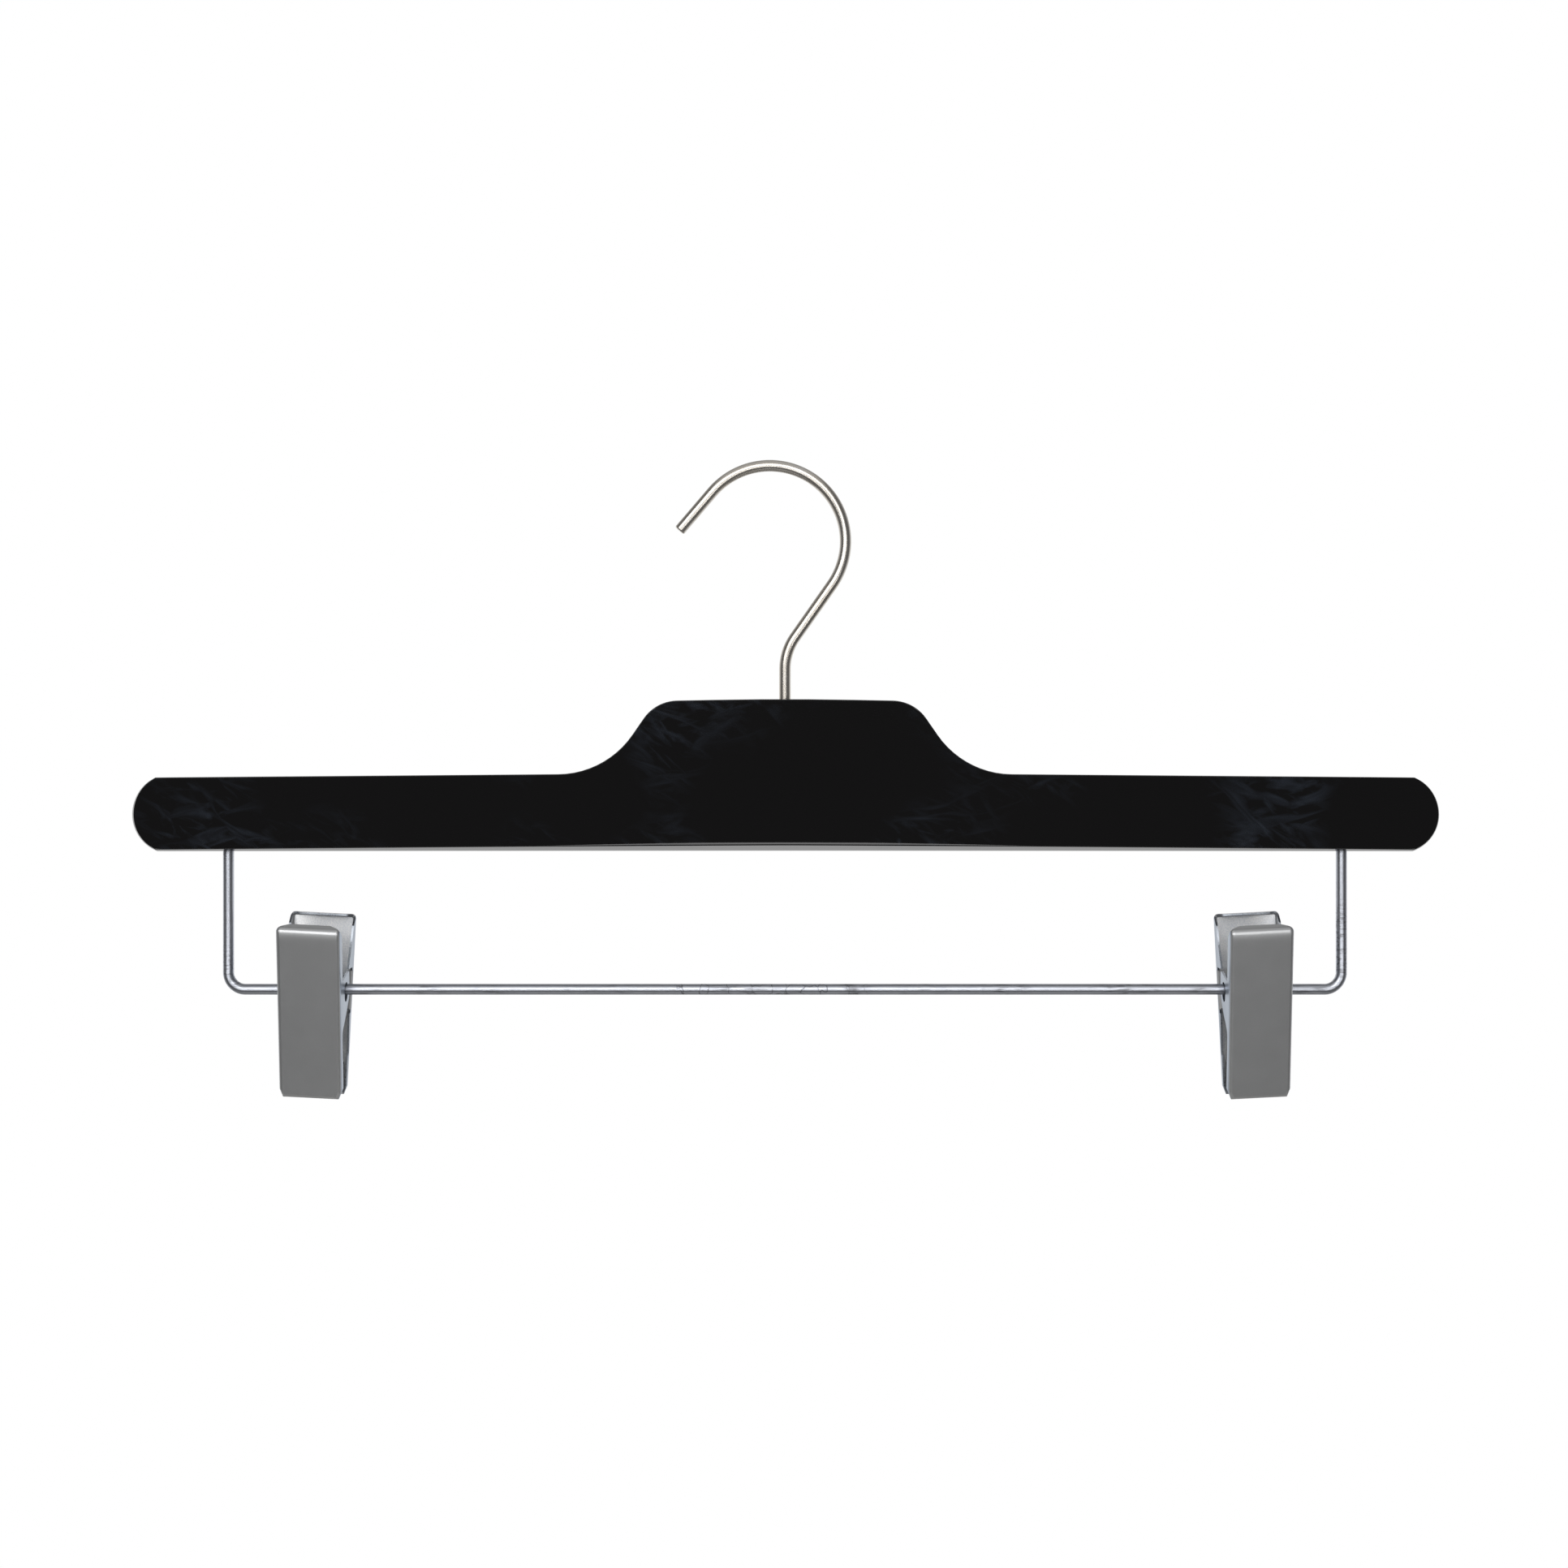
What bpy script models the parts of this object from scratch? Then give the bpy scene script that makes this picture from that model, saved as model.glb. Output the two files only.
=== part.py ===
"""Trouser hanger: a lacquered wooden beam under a swivelling wire hook, with a wire bar and two sprung clips.

Metres, +Z up, X along the beam, -Y the front. The origin is the point inside the hook's crown that rests on a
rail. The clips are shown as they lie when the hanger is laid on its back: back shells parallel to the beam.
"""

import math

import bmesh
import bpy
from mathutils import Matrix, Vector

# Clearances and facets
cut_overrun = 0.0020  # how far a cutter passes beyond what it cuts
seat_gap = 0.0003  # between pieces that bear on each other
arc_step = math.radians(7.5)
wire_ring = 4  # bevel resolution of the plain wires
turning_steps = 24

# Wooden beam
beam_length = 0.3600
beam_thickness = 0.0120
beam_end_bulge = 0.0071
beam_edge_radius = 0.0020
arm_end_height = 0.0204
arm_root_height = 0.0214
neck_height = 0.0421  # at the middle
neck_crown_drop = 0.0007  # from there down to the neck's corners
neck_top_half_width = 0.0355
neck_foot_half_width = 0.0493
neck_corner_radius = 0.0114
neck_crown_radius = 1.0000
shoulder_radius = 0.0250

# Hook
hook_wire = 0.0032
hook_crown_radius = 0.0210  # of the wire's centre line, as are the other bends
hook_crown_offset = 0.0042  # from the swivel axis to the middle of the crown
hook_tip_length = 0.0140
hook_tip_lean = math.radians(40.5)
hook_slant = math.radians(35.1)
hook_bend_radius = 0.0153
hook_shank_rise = 0.0083  # straight shank above the wood
hook_shank_depth = 0.0240  # and inside it
hook_end_chamfer = 0.0004
groove_depth = 0.0006
groove_height = 0.0022
groove_button = 0.0018  # head of full thickness below the groove

# Split bush that holds the hook in the beam
bush_wall = 0.0009
bush_recess = 0.0008
bush_slit = 0.0008
bore_relief = 0.0010  # air under the shank's end

# Clip bar
bar_wire = 0.0030
bar_inset = 0.0258  # from the beam's end to the bar's upright
bar_drop = 0.0383  # from the wood's underside to the bar's axis
bar_bend_radius = 0.0047
bar_seat_depth = 0.0090
bar_end_chamfer = 0.0003

# Clips
clip_inset = 0.0239  # from the bar's upright to a clip's middle
clip_drop = 0.0003  # a clip hangs by its play below the bar's axis
clip_lean = math.radians(2.9)  # and its top leans towards the middle
front_width = 0.0174
back_width = 0.0182
clip_sheet = 0.00055
clip_bend_radius = 0.0011  # outside of the pressed edges
clip_corner_radius = 0.0013
handle_length = 0.0212  # from the ears' axis to the top
jaw_length = 0.0293  # and to the jaws' tips
jaw_tip_thickness = 0.0071  # both closed jaws, outside
bar_play = 0.0013
ear_wall = 0.0018
ear_to_face = 0.0036
ear_side_gap = 0.00035
ear_slot_play = 0.0005  # across the slots, each side of the bar
ear_root_rise = 0.0003  # the front ear's top is this much higher at the flange
ear_root_radius = 0.0008
ear_top_corner_radius = 0.0010
ear_low_corner_radius = 0.0030
front_flange = 0.0038
arch_peak = 0.0064  # the opening in the front shell's side begins this far below the ears' axis
arch_side = 0.0098
arch_flange = 0.0026
arch_radius = 0.0030
back_flange = 0.0036
back_flange_low = 0.0080  # the back shell's flange is deeper just above its ear
back_flange_under = 0.0036  # and tapers below it
back_flange_taper = 0.0020
ear_notch = 0.0018
joggle_depth = 0.0028
joggle_run = 0.0010
joggle_margin = 0.0009
lance_gap = 0.0003
jaw_flange_start = 0.0176
jaw_flange_step = 0.0010
jaw_flange_gap = 0.0007  # from the jaw's flange to the plane where the pads meet
jaw_lip = 0.0016
jaw_corner_height = 0.0025
jaw_corner_width = 0.0009
mitre_inset = 0.0032
mitre_start = 0.0013

# Grip pads
pad_height = 0.0076
pad_meeting_gap = 0.00015  # from a pad's ridges to the plane where the pads meet
rib_pitch = 0.00115
rib_depth = 0.00045

# Clip springs
spring_wire = 0.0011
spring_bore_gap = 0.0002
spring_turn_gap = 0.0005
spring_points = 10  # a turn
spring_turns = 6  # started, counted from the back handle
spring_ring = 1  # bevel resolution of their wire
spring_knee_radius = 0.0030
spring_foot_length = 0.0026
spring_foot_share = 0.56  # of the handle, up to the knee

# Worked out from these
wire_radius = hook_wire / 2
bar_radius = bar_wire / 2
spring_radius = spring_wire / 2
bar_half_span = beam_length / 2 - bar_inset
clip_station = bar_half_span - clip_inset
ear_hole_radius = bar_radius + bar_play
ear_slot_radius = bar_radius + ear_slot_play
ear_radius = ear_hole_radius + ear_wall
clip_face = ear_radius + ear_to_face  # from the ears' axis to a shell's outer face
half_tip = jaw_tip_thickness / 2
half_angle = math.acos(half_tip / math.hypot(clip_face, jaw_length)) - math.atan2(jaw_length, clip_face)
coil_radius = ear_hole_radius + spring_bore_gap + spring_radius
bush_bore_radius = wire_radius + seat_gap
bush_radius = bush_bore_radius + bush_wall
groove_radius = wire_radius - groove_depth

crown_z = wire_radius - hook_crown_radius
slant_drop = (hook_crown_radius * math.cos(hook_slant) - hook_crown_offset) / math.tan(hook_slant)
bend_z = crown_z - hook_crown_radius * math.sin(hook_slant) - slant_drop
bend_tangent = hook_bend_radius * math.tan(hook_slant / 2)
wood_top = bend_z - bend_tangent - hook_shank_rise
wood_base = wood_top - neck_height
bar_z = wood_base - bar_drop
swivel_x = hook_crown_offset


def rounded(corners):
    """The outline through these (x, z, radius) corners, with an arc at each one that has a radius."""
    points = []
    for n, (x, z, radius) in enumerate(corners):
        here = Vector((x, z))
        if not radius:
            points.append(here)
            continue
        back = (Vector(corners[n - 1][:2]) - here).normalized()
        on = (Vector(corners[(n + 1) % len(corners)][:2]) - here).normalized()
        turn = math.pi - back.angle(on)
        centre = here + (back + on).normalized() * (radius / math.cos(turn / 2))
        start = here + back * (radius * math.tan(turn / 2)) - centre
        way = 1 if back.x * on.y - back.y * on.x < 0 else -1
        steps = max(3, math.ceil(turn / arc_step))
        points += [centre + Matrix.Rotation(way * turn * k / steps, 2) @ start for k in range(steps + 1)]
    return points


def arc(centre, radius, first, last):
    """Points on a circle about centre, from the first angle to the last."""
    steps = max(2, math.ceil(abs(last - first) / arc_step))
    angles = [first + (last - first) * k / steps for k in range(steps + 1)]
    return [Vector(centre) + Vector((math.cos(a), math.sin(a))) * radius for a in angles]


def inset(outline, distance):
    """A convex outline, given clockwise, with each side moved inwards."""
    sides = []
    for n, start in enumerate(outline):
        along = (outline[(n + 1) % len(outline)] - start).normalized()
        inward = Vector((along.y, -along.x))
        sides.append((start + inward * distance, along))
    moved = []
    for n, (start, along) in enumerate(sides):
        before, way = sides[n - 1]
        across = way.x * along.y - way.y * along.x
        offset = start - before
        moved.append(before + way * ((offset.x * along.y - offset.y * along.x) / across))
    return moved


def finish(name, mesh_data, material, parent=None):
    """A new object from a bmesh or a mesh, smooth but for its sharp edges."""
    if isinstance(mesh_data, bmesh.types.BMesh):
        mesh = bpy.data.meshes.new(name)
        bmesh.ops.recalc_face_normals(mesh_data, faces=mesh_data.faces)
        mesh_data.to_mesh(mesh)
        mesh_data.free()
    else:
        mesh = mesh_data
    mesh.shade_smooth()
    mesh.set_sharp_from_angle(angle=math.radians(30))
    obj = bpy.data.objects.new(name, mesh)
    bpy.context.collection.objects.link(obj)
    obj.parent = parent
    if material:
        mesh.materials.append(material)
    else:
        obj.hide_render = True
        obj.display_type = "WIRE"
    return obj


def prism(outline, low, high, axis):
    """A bmesh: the outline, given in the plane across an axis, drawn out along it from low to high."""
    place = {
        "X": lambda p, along: (along, p[0], p[1]),
        "Y": lambda p, along: (p[0], along, p[1]),
        "Z": lambda p, along: (p[0], p[1], along),
    }[axis]
    bm = bmesh.new()
    face = bm.faces.new([bm.verts.new(place(p, low)) for p in outline])
    raised = bmesh.ops.extrude_face_region(bm, geom=[face])["geom"]
    top = [v for v in raised if isinstance(v, bmesh.types.BMVert)]
    bmesh.ops.translate(bm, verts=top, vec=place((0, 0), high - low))
    bm.normal_update()
    return bm


def turned(profile, steps):
    """A bmesh: a closed profile of (radius, z) points turned about Z."""
    bm = bmesh.new()
    rings = []
    for k in range(steps):
        angle = 2 * math.pi * k / steps
        rings.append([bm.verts.new((r * math.cos(angle), r * math.sin(angle), z)) for r, z in profile])
    for k, ring in enumerate(rings):
        following = rings[(k + 1) % steps]
        for n in range(len(profile)):
            m = (n + 1) % len(profile)
            bm.faces.new((ring[n], following[n], following[m], ring[m]))
    return bm


def cylinder(radius, low, high, axis, centre=(0, 0)):
    """A bmesh: a round cutter along an axis."""
    steps = [2 * math.pi * k / turning_steps for k in range(turning_steps)]
    rim = [(centre[0] + radius * math.cos(a), centre[1] + radius * math.sin(a)) for a in steps]
    return prism(rim, low, high, axis)


def boolean(target, tool, operation="DIFFERENCE"):
    """Cuts, joins or trims an object by another one, which is only a tool."""
    modifier = target.modifiers.new(tool.name, "BOOLEAN")
    modifier.operation = operation
    modifier.solver = "EXACT"
    modifier.object = tool


def wire(name, route, radius, material, parent=None, ring=wire_ring, shares=None):
    """A wire bent along a route, with each point's thickness as a share of the wire's."""
    curve = bpy.data.curves.new(name, "CURVE")
    curve.dimensions = "3D"
    curve.bevel_depth = radius
    curve.bevel_resolution = ring
    curve.use_fill_caps = True
    spline = curve.splines.new("POLY")
    spline.points.add(len(route) - 1)
    for n, (point, place) in enumerate(zip(spline.points, route)):
        point.co = (*place, 1)
        point.radius = shares[n] if shares else 1
    curve.materials.append(material)
    obj = bpy.data.objects.new(name, curve)
    bpy.context.collection.objects.link(obj)
    obj.parent = parent
    return obj


def material(name, colour, roughness, metallic=0.0, coat=0.0):
    made = bpy.data.materials.new(name)
    made.use_nodes = True
    shader = made.node_tree.nodes["Principled BSDF"]
    shader.inputs["Base Color"].default_value = (*colour, 1)
    shader.inputs["Roughness"].default_value = roughness
    shader.inputs["Metallic"].default_value = metallic
    shader.inputs["Coat Weight"].default_value = coat
    return made


def axis_empty(name, matrix, parent=None):
    """An empty on a joint's axis, which the moving pieces hang from."""
    empty = bpy.data.objects.new(name, None)
    bpy.context.collection.objects.link(empty)
    empty.parent = parent
    empty.matrix_world = matrix
    bpy.context.view_layer.update()
    return empty


def beam_outline():
    """The front view of the wood about the swivel axis, with Z measured from the wood's underside."""
    half_height = arm_end_height / 2
    corner_height = neck_height - neck_crown_drop
    end_radius = (half_height**2 + beam_end_bulge**2) / (2 * beam_end_bulge)
    end_centre = beam_length / 2 - end_radius
    spread = math.atan2(half_height, end_radius - beam_end_bulge)
    right_end = arc((end_centre, half_height), end_radius, -spread, spread)
    neck = [
        (end_centre, arm_end_height, 0),
        (neck_foot_half_width, arm_root_height, shoulder_radius),
        (neck_top_half_width, corner_height, neck_corner_radius),
        (0, neck_height, neck_crown_radius),
        (-neck_top_half_width, corner_height, neck_corner_radius),
        (-neck_foot_half_width, arm_root_height, shoulder_radius),
        (-end_centre, arm_end_height, 0),
    ]
    left_end = [Vector((-p.x, p.y)) for p in reversed(right_end)]
    return right_end + rounded(neck)[1:-1] + left_end


def make_beam(lacquer, swivel):
    """The wood, with its edges rounded, the bore for the hook's bush and the two blind holes for the bar."""
    half = beam_thickness / 2
    outline = [(p.x, p.y - neck_height) for p in beam_outline()]
    bm = prism(outline, -half, half, "Y")
    rims = [e for e in bm.edges if abs(e.verts[0].co.y - e.verts[1].co.y) < half]
    bmesh.ops.bevel(bm, geom=rims, offset=beam_edge_radius, segments=3, profile=0.5, affect="EDGES")
    beam = finish("beam", bm, lacquer, swivel)
    bore_floor = -hook_shank_depth - bore_relief
    bore = cylinder(bush_radius + seat_gap, bore_floor, cut_overrun, "Z")
    boolean(beam, finish("hook_bore_cutter", bore, None, swivel))
    for side, x in (("left", -bar_half_span), ("right", bar_half_span)):
        roof = bar_seat_depth + seat_gap - neck_height
        hole = cylinder(bar_radius + seat_gap, -neck_height - cut_overrun, roof, "Z", (x, 0))
        boolean(beam, finish(f"{side}_bar_hole_cutter", hole, None, swivel))


def make_hook(steel):
    """One wire: tip, crown, slant, bend and a shank whose groove the bush snaps into."""
    centre = Vector((0, crown_z))
    over = arc(centre, hook_crown_radius, math.pi - hook_tip_lean, -hook_slant)
    tip_way = Vector((-math.sin(hook_tip_lean), -math.cos(hook_tip_lean)))
    tip = over[0] + tip_way * hook_tip_length
    bend = rounded([(*over[-1], 0), (swivel_x, bend_z, hook_bend_radius), (swivel_x, wood_top, 0)])
    shank_end = wood_top - hook_shank_depth
    groove_low = shank_end + groove_button
    groove_high = groove_low + groove_height
    route = [tip, tip - tip_way * hook_end_chamfer] + over + bend[1:-1]
    shares = [1 - hook_end_chamfer / wire_radius] + [1] * (len(route) - 1)
    thin = groove_radius / wire_radius
    step = groove_depth / 4
    ends = [
        (groove_high + step, 1),
        (groove_high, thin),
        (groove_low, thin),
        (groove_low - step, 1),
        (shank_end + hook_end_chamfer, 1),
        (shank_end, shares[0]),
    ]
    route += [Vector((swivel_x, z)) for z, _ in ends]
    shares += [share for _, share in ends]
    wire("hook", [(p.x, 0, p.y) for p in route], wire_radius, steel, shares=shares)


def make_bush(brass, swivel):
    """The split sleeve in the wood. Its inner rib sits in the shank's groove, so the hook turns but can't pull out."""
    top, foot = -bush_recess, -hook_shank_depth
    rib_low = foot + groove_button + seat_gap
    rib_high = rib_low + groove_height - 2 * seat_gap
    rib_radius = groove_radius + seat_gap
    profile = [
        (bush_radius, foot),
        (bush_radius, top),
        (bush_bore_radius, top),
        (bush_bore_radius, rib_high),
        (rib_radius, rib_high),
        (rib_radius, rib_low),
        (bush_bore_radius, rib_low),
        (bush_bore_radius, foot),
    ]
    bush = finish("hook_bush", turned(profile, turning_steps), brass, swivel)
    half = bush_slit / 2
    sides = [(-half, 0), (half, 0), (half, bush_radius + cut_overrun), (-half, bush_radius + cut_overrun)]
    slit = prism(sides, foot - cut_overrun, top + cut_overrun, "Z")
    boolean(bush, finish("bush_slit_cutter", slit, None, swivel))


def make_bar(steel, swivel):
    """The wire under the beam, bent up at both ends into the wood."""
    top = bar_seat_depth - neck_height
    low = -neck_height - bar_drop
    corners = [
        (-bar_half_span, top, 0),
        (-bar_half_span, low, bar_bend_radius),
        (bar_half_span, low, bar_bend_radius),
        (bar_half_span, top, 0),
    ]
    route = rounded(corners)
    drop = Vector((0, bar_end_chamfer))
    route = [route[0], route[0] - drop] + route[1:-1] + [route[-1] - drop, route[-1]]
    blunt = 1 - bar_end_chamfer / bar_radius
    shares = [blunt] + [1] * (len(route) - 2) + [blunt]
    wire("clip_bar", [(p.x, 0, p.y) for p in route], bar_radius, steel, swivel, shares=shares)


def shell_front_outline(half_width):
    """A shell seen square to its face, clockwise from the top left: round corners above, cut ones below."""
    return rounded([
        (-half_width, handle_length, clip_corner_radius),
        (half_width, handle_length, clip_corner_radius),
        (half_width, jaw_corner_height - jaw_length, 0),
        (half_width - jaw_corner_width, -jaw_length, 0),
        (jaw_corner_width - half_width, -jaw_length, 0),
        (-half_width, jaw_corner_height - jaw_length, 0),
    ])


def jaw_side_corners(start_depth):
    """The lower end of a shell's side view, as (depth from the face, height above the ears' axis, radius)."""
    deep = half_tip / math.cos(half_angle) - jaw_flange_gap
    return [
        (start_depth, -jaw_flange_start, 0),
        (deep, -jaw_flange_start - jaw_flange_step, 0),
        (deep, jaw_corner_height - jaw_length, 0),
        (jaw_lip, -jaw_length, 0),
        (jaw_lip, -jaw_length - cut_overrun, 0),
        (-cut_overrun, -jaw_length - cut_overrun, 0),
        (-cut_overrun, handle_length + cut_overrun, 0),
    ]


def front_side_points():
    """Side view of the front shell: its ear reaches past the axis, above an opening in the side."""
    far = clip_face + ear_radius
    corners = [
        (front_flange, handle_length + cut_overrun, 0),
        (front_flange, ear_radius + ear_root_rise, ear_root_radius),
        (far, ear_radius, ear_top_corner_radius),
        (far, -ear_hole_radius, ear_low_corner_radius),
        (clip_face, -arch_peak, ear_root_radius),
        (arch_flange, -arch_side, arch_radius),
    ]
    return rounded(corners + jaw_side_corners(arch_flange))


def back_side_points():
    """Side view of the back shell: its ear is a round tab, with notches that free it from the flange."""
    high = ear_radius + ear_notch
    corners = [
        (back_flange, handle_length + cut_overrun, 0),
        (back_flange, handle_length - mitre_inset, 0),
        (back_flange_low, high, 0),
        (joggle_depth, high, 0),
        (joggle_depth, ear_radius, 0),
        (clip_face + ear_radius, ear_radius, ear_radius - seat_gap),
        (clip_face + ear_radius, -ear_radius, ear_radius - seat_gap),
        (joggle_depth, -ear_radius, 0),
        (joggle_depth, -high, 0),
        (back_flange_under, -high, 0),
    ]
    return rounded(corners + jaw_side_corners(back_flange_taper))


def rounded_block(outline, low, high, radius):
    """A bmesh: the outline drawn out along Y, with the rim at its high end rounded."""
    bm = prism(outline, low, high, "Y")
    middle = (low + high) / 2
    rim = [e for e in bm.edges if all(v.co.y > middle for v in e.verts)]
    bmesh.ops.bevel(bm, geom=rim, offset=radius, segments=3, profile=0.5, affect="EDGES")
    return bm


def joggle_pocket(shift):
    """The outline, seen along Z, of what is pressed in beside an ear. The inner skin's is shifted by a sheet."""
    edge = back_width / 2
    inward = edge - front_width / 2 + clip_sheet + ear_side_gap
    ramp = joggle_run / inward
    dx, dy = -shift, shift * math.tan(math.atan2(inward, joggle_run) / 2)
    deepest = -ear_radius - 2 * cut_overrun
    high = clip_face - joggle_depth + joggle_run
    return [
        (edge + cut_overrun + dx, high + cut_overrun * ramp + dy),
        (edge - inward + dx, high - joggle_run + dy),
        (edge - inward + dx, deepest),
        (edge + cut_overrun + dx, deepest),
    ]


def mitre(side, half_width):
    """A bmesh: the corner that is notched out of the blank, so that top and side flanges fold without meeting."""
    bm = bmesh.new()
    depths = [(mitre_start, mitre_start / 2), (front_flange + cut_overrun, mitre_inset + cut_overrun)]
    rings = []
    for depth, size in depths:
        y = clip_face - depth
        near, far = half_width - size, half_width + cut_overrun
        low, high = handle_length - size, handle_length + cut_overrun
        corners = [(near, low), (far, low), (far, high), (near, high)]
        rings.append([bm.verts.new((side * x, y, z)) for x, z in corners])
    for n in range(4):
        m = (n + 1) % 4
        bm.faces.new((rings[0][n], rings[0][m], rings[1][m], rings[1][n]))
    bm.faces.new(rings[0])
    bm.faces.new(rings[1])
    return bm


def set_ears_in(name, shell, cavity, parent):
    """Presses both ears of the back shell inwards by a sheet, so that they sit inside the front shell's."""
    zone = ear_radius + joggle_margin
    for side, tag in ((-1, "left"), (1, "right")):
        outer = [(side * x, y) for x, y in joggle_pocket(0)]
        inner = [(side * x, y) for x, y in joggle_pocket(clip_sheet)]
        lance = zone - lance_gap
        boolean(shell, finish(f"{name}_{tag}_pocket_cutter", prism(outer, -zone, zone, "Z"), None, parent))
        boolean(cavity, finish(f"{name}_{tag}_skin_cutter", prism(inner, -lance, lance, "Z"), None, parent))


def ear_hole_outline():
    """The slot in an ear, seen along X: as high as the play lets the clip lean, and narrower across."""
    reach = ear_hole_radius - ear_slot_radius
    upper = arc((0, reach), ear_slot_radius, 0, math.pi)
    return upper + [-p for p in upper]


def make_shell(name, width, side_points, paint, parent):
    """One pressed shell with its face towards +Y: a tray, trimmed to its side view, mitred and bored."""
    half_width = width / 2
    deepest = -ear_radius - cut_overrun
    outline = shell_front_outline(half_width)
    shell = finish(name, rounded_block(outline, deepest, clip_face, clip_bend_radius), paint, parent)
    floor, low = clip_face - clip_sheet, deepest - cut_overrun
    hollow = rounded_block(inset(outline, clip_sheet), low, floor, clip_bend_radius - clip_sheet)
    cavity = finish(f"{name}_cavity_cutter", hollow, None, parent)
    if width == back_width:
        set_ears_in(name, shell, cavity, parent)
    boolean(shell, cavity)
    view = [(clip_face - depth, height) for depth, height in side_points]
    reach = half_width + cut_overrun
    trim = finish(f"{name}_side_cutter", prism(view, -reach, reach, "X"), None, parent)
    boolean(shell, trim, "INTERSECT")
    for side, tag in ((-1, "left"), (1, "right")):
        boolean(shell, finish(f"{name}_{tag}_mitre_cutter", mitre(side, half_width), None, parent))
    hole = prism(ear_hole_outline(), -reach, reach, "X")
    boolean(shell, finish(f"{name}_hole_cutter", hole, None, parent))


def pad_outline():
    """Side view of a pad: a wedge from the shell to the plane where the two pads meet, ribbed there."""
    seat = clip_face - clip_sheet - seat_gap
    low = clip_sheet + seat_gap - jaw_length
    ribs = round(pad_height / rib_pitch)
    pitch = pad_height / ribs

    def facing(height, depth):
        return (pad_meeting_gap + depth - height * math.sin(half_angle)) / math.cos(half_angle)

    points = [(seat, low + pad_height), (seat, low)]
    for k in range(ribs):
        valley = low + pitch * k
        ridge = valley + pitch / 2
        points += [(facing(valley, rib_depth), valley), (facing(ridge, 0), ridge)]
    return points + [(facing(low + pad_height, rib_depth), low + pad_height)]


def make_pad(name, width, rubber, parent):
    reach = width / 2 - jaw_corner_width - clip_sheet
    return finish(name, prism(pad_outline(), -reach, reach, "X"), rubber, parent)


def leg_points():
    """A spring's leg seen along X, from where it leaves the coil to the foot that lies along the handle."""
    plate = clip_face - clip_sheet - seat_gap - spring_radius
    knee = Vector((plate, handle_length * spring_foot_share))
    leaves = math.atan2(knee.y, knee.x) - math.acos(coil_radius / knee.length)
    start = Vector((math.cos(leaves), math.sin(leaves))) * coil_radius
    foot = knee + Vector((0, spring_foot_length))
    route = rounded([(*start, 0), (*knee, spring_knee_radius), (*foot, 0)])
    return leaves, route


def spring_route():
    """Down the front handle, round the bar and up the back handle, in the clip's own frame."""
    leaves, leg = leg_points()
    tilt = Matrix.Rotation(2 * half_angle, 2)
    front_leg = [tilt @ Vector((-p.x, p.y)) for p in leg]
    first = math.pi - leaves + 2 * half_angle
    last = leaves + 2 * math.pi * spring_turns
    pitch = spring_wire + spring_turn_gap
    rise = pitch * (last - first) / (2 * math.pi)
    steps = round(spring_points * (last - first) / (2 * math.pi))
    coil = []
    for k in range(1, steps):
        angle = first + (last - first) * k / steps
        x = rise * (k / steps - 1 / 2)
        coil.append((x, coil_radius * math.cos(angle), coil_radius * math.sin(angle)))
    down = [(-rise / 2, *p) for p in reversed(front_leg)]
    up = [(rise / 2, *p) for p in leg]
    return [Vector(p) for p in down + coil + up]


def least_self_gap(route):
    """The least gap between turns of a wire, measured on its points where they are not neighbours along it."""
    reach = spring_points // 2
    gaps = [(a - b).length for n, a in enumerate(route) for b in route[n + reach :]]
    return min(gaps) - spring_wire


def make_clip(side, looks, swivel):
    """One clip on the bar. The back jaw hangs from the bar's axis and the front jaw opens about its own axis."""
    sign = -1 if side == "left" else 1
    place = Matrix.Translation((swivel_x + sign * clip_station, 0, bar_z - clip_drop))
    lean = Matrix.Rotation(-sign * clip_lean, 4, "Y")
    clip_frame = place @ lean
    opened = Matrix.Rotation(2 * half_angle, 4, "X") @ Matrix.Rotation(math.pi, 4, "Z")
    back_axis = axis_empty(f"{side}_clip_axis", clip_frame, swivel)
    front_axis = axis_empty(f"{side}_jaw_axis", clip_frame @ opened, back_axis)
    make_shell(f"{side}_back_shell", back_width, back_side_points(), looks["back_paint"], back_axis)
    make_shell(f"{side}_front_shell", front_width, front_side_points(), looks["front_paint"], front_axis)
    make_pad(f"{side}_back_pad", back_width, looks["back_rubber"], back_axis)
    make_pad(f"{side}_front_pad", front_width, looks["front_rubber"], front_axis)
    wire(f"{side}_spring", spring_route(), spring_radius, looks["spring_steel"], back_axis, spring_ring)


def even_out_shading():
    """Lets the large flat faces stay flat beside their rounded edges."""
    for obj in bpy.data.objects:
        if obj.type == "MESH" and not obj.hide_render:
            normals = obj.modifiers.new("weighted_normals", "WEIGHTED_NORMAL")
            normals.keep_sharp = True


def remove_everything():
    for obj in list(bpy.data.objects):
        bpy.data.objects.remove(obj)


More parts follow.
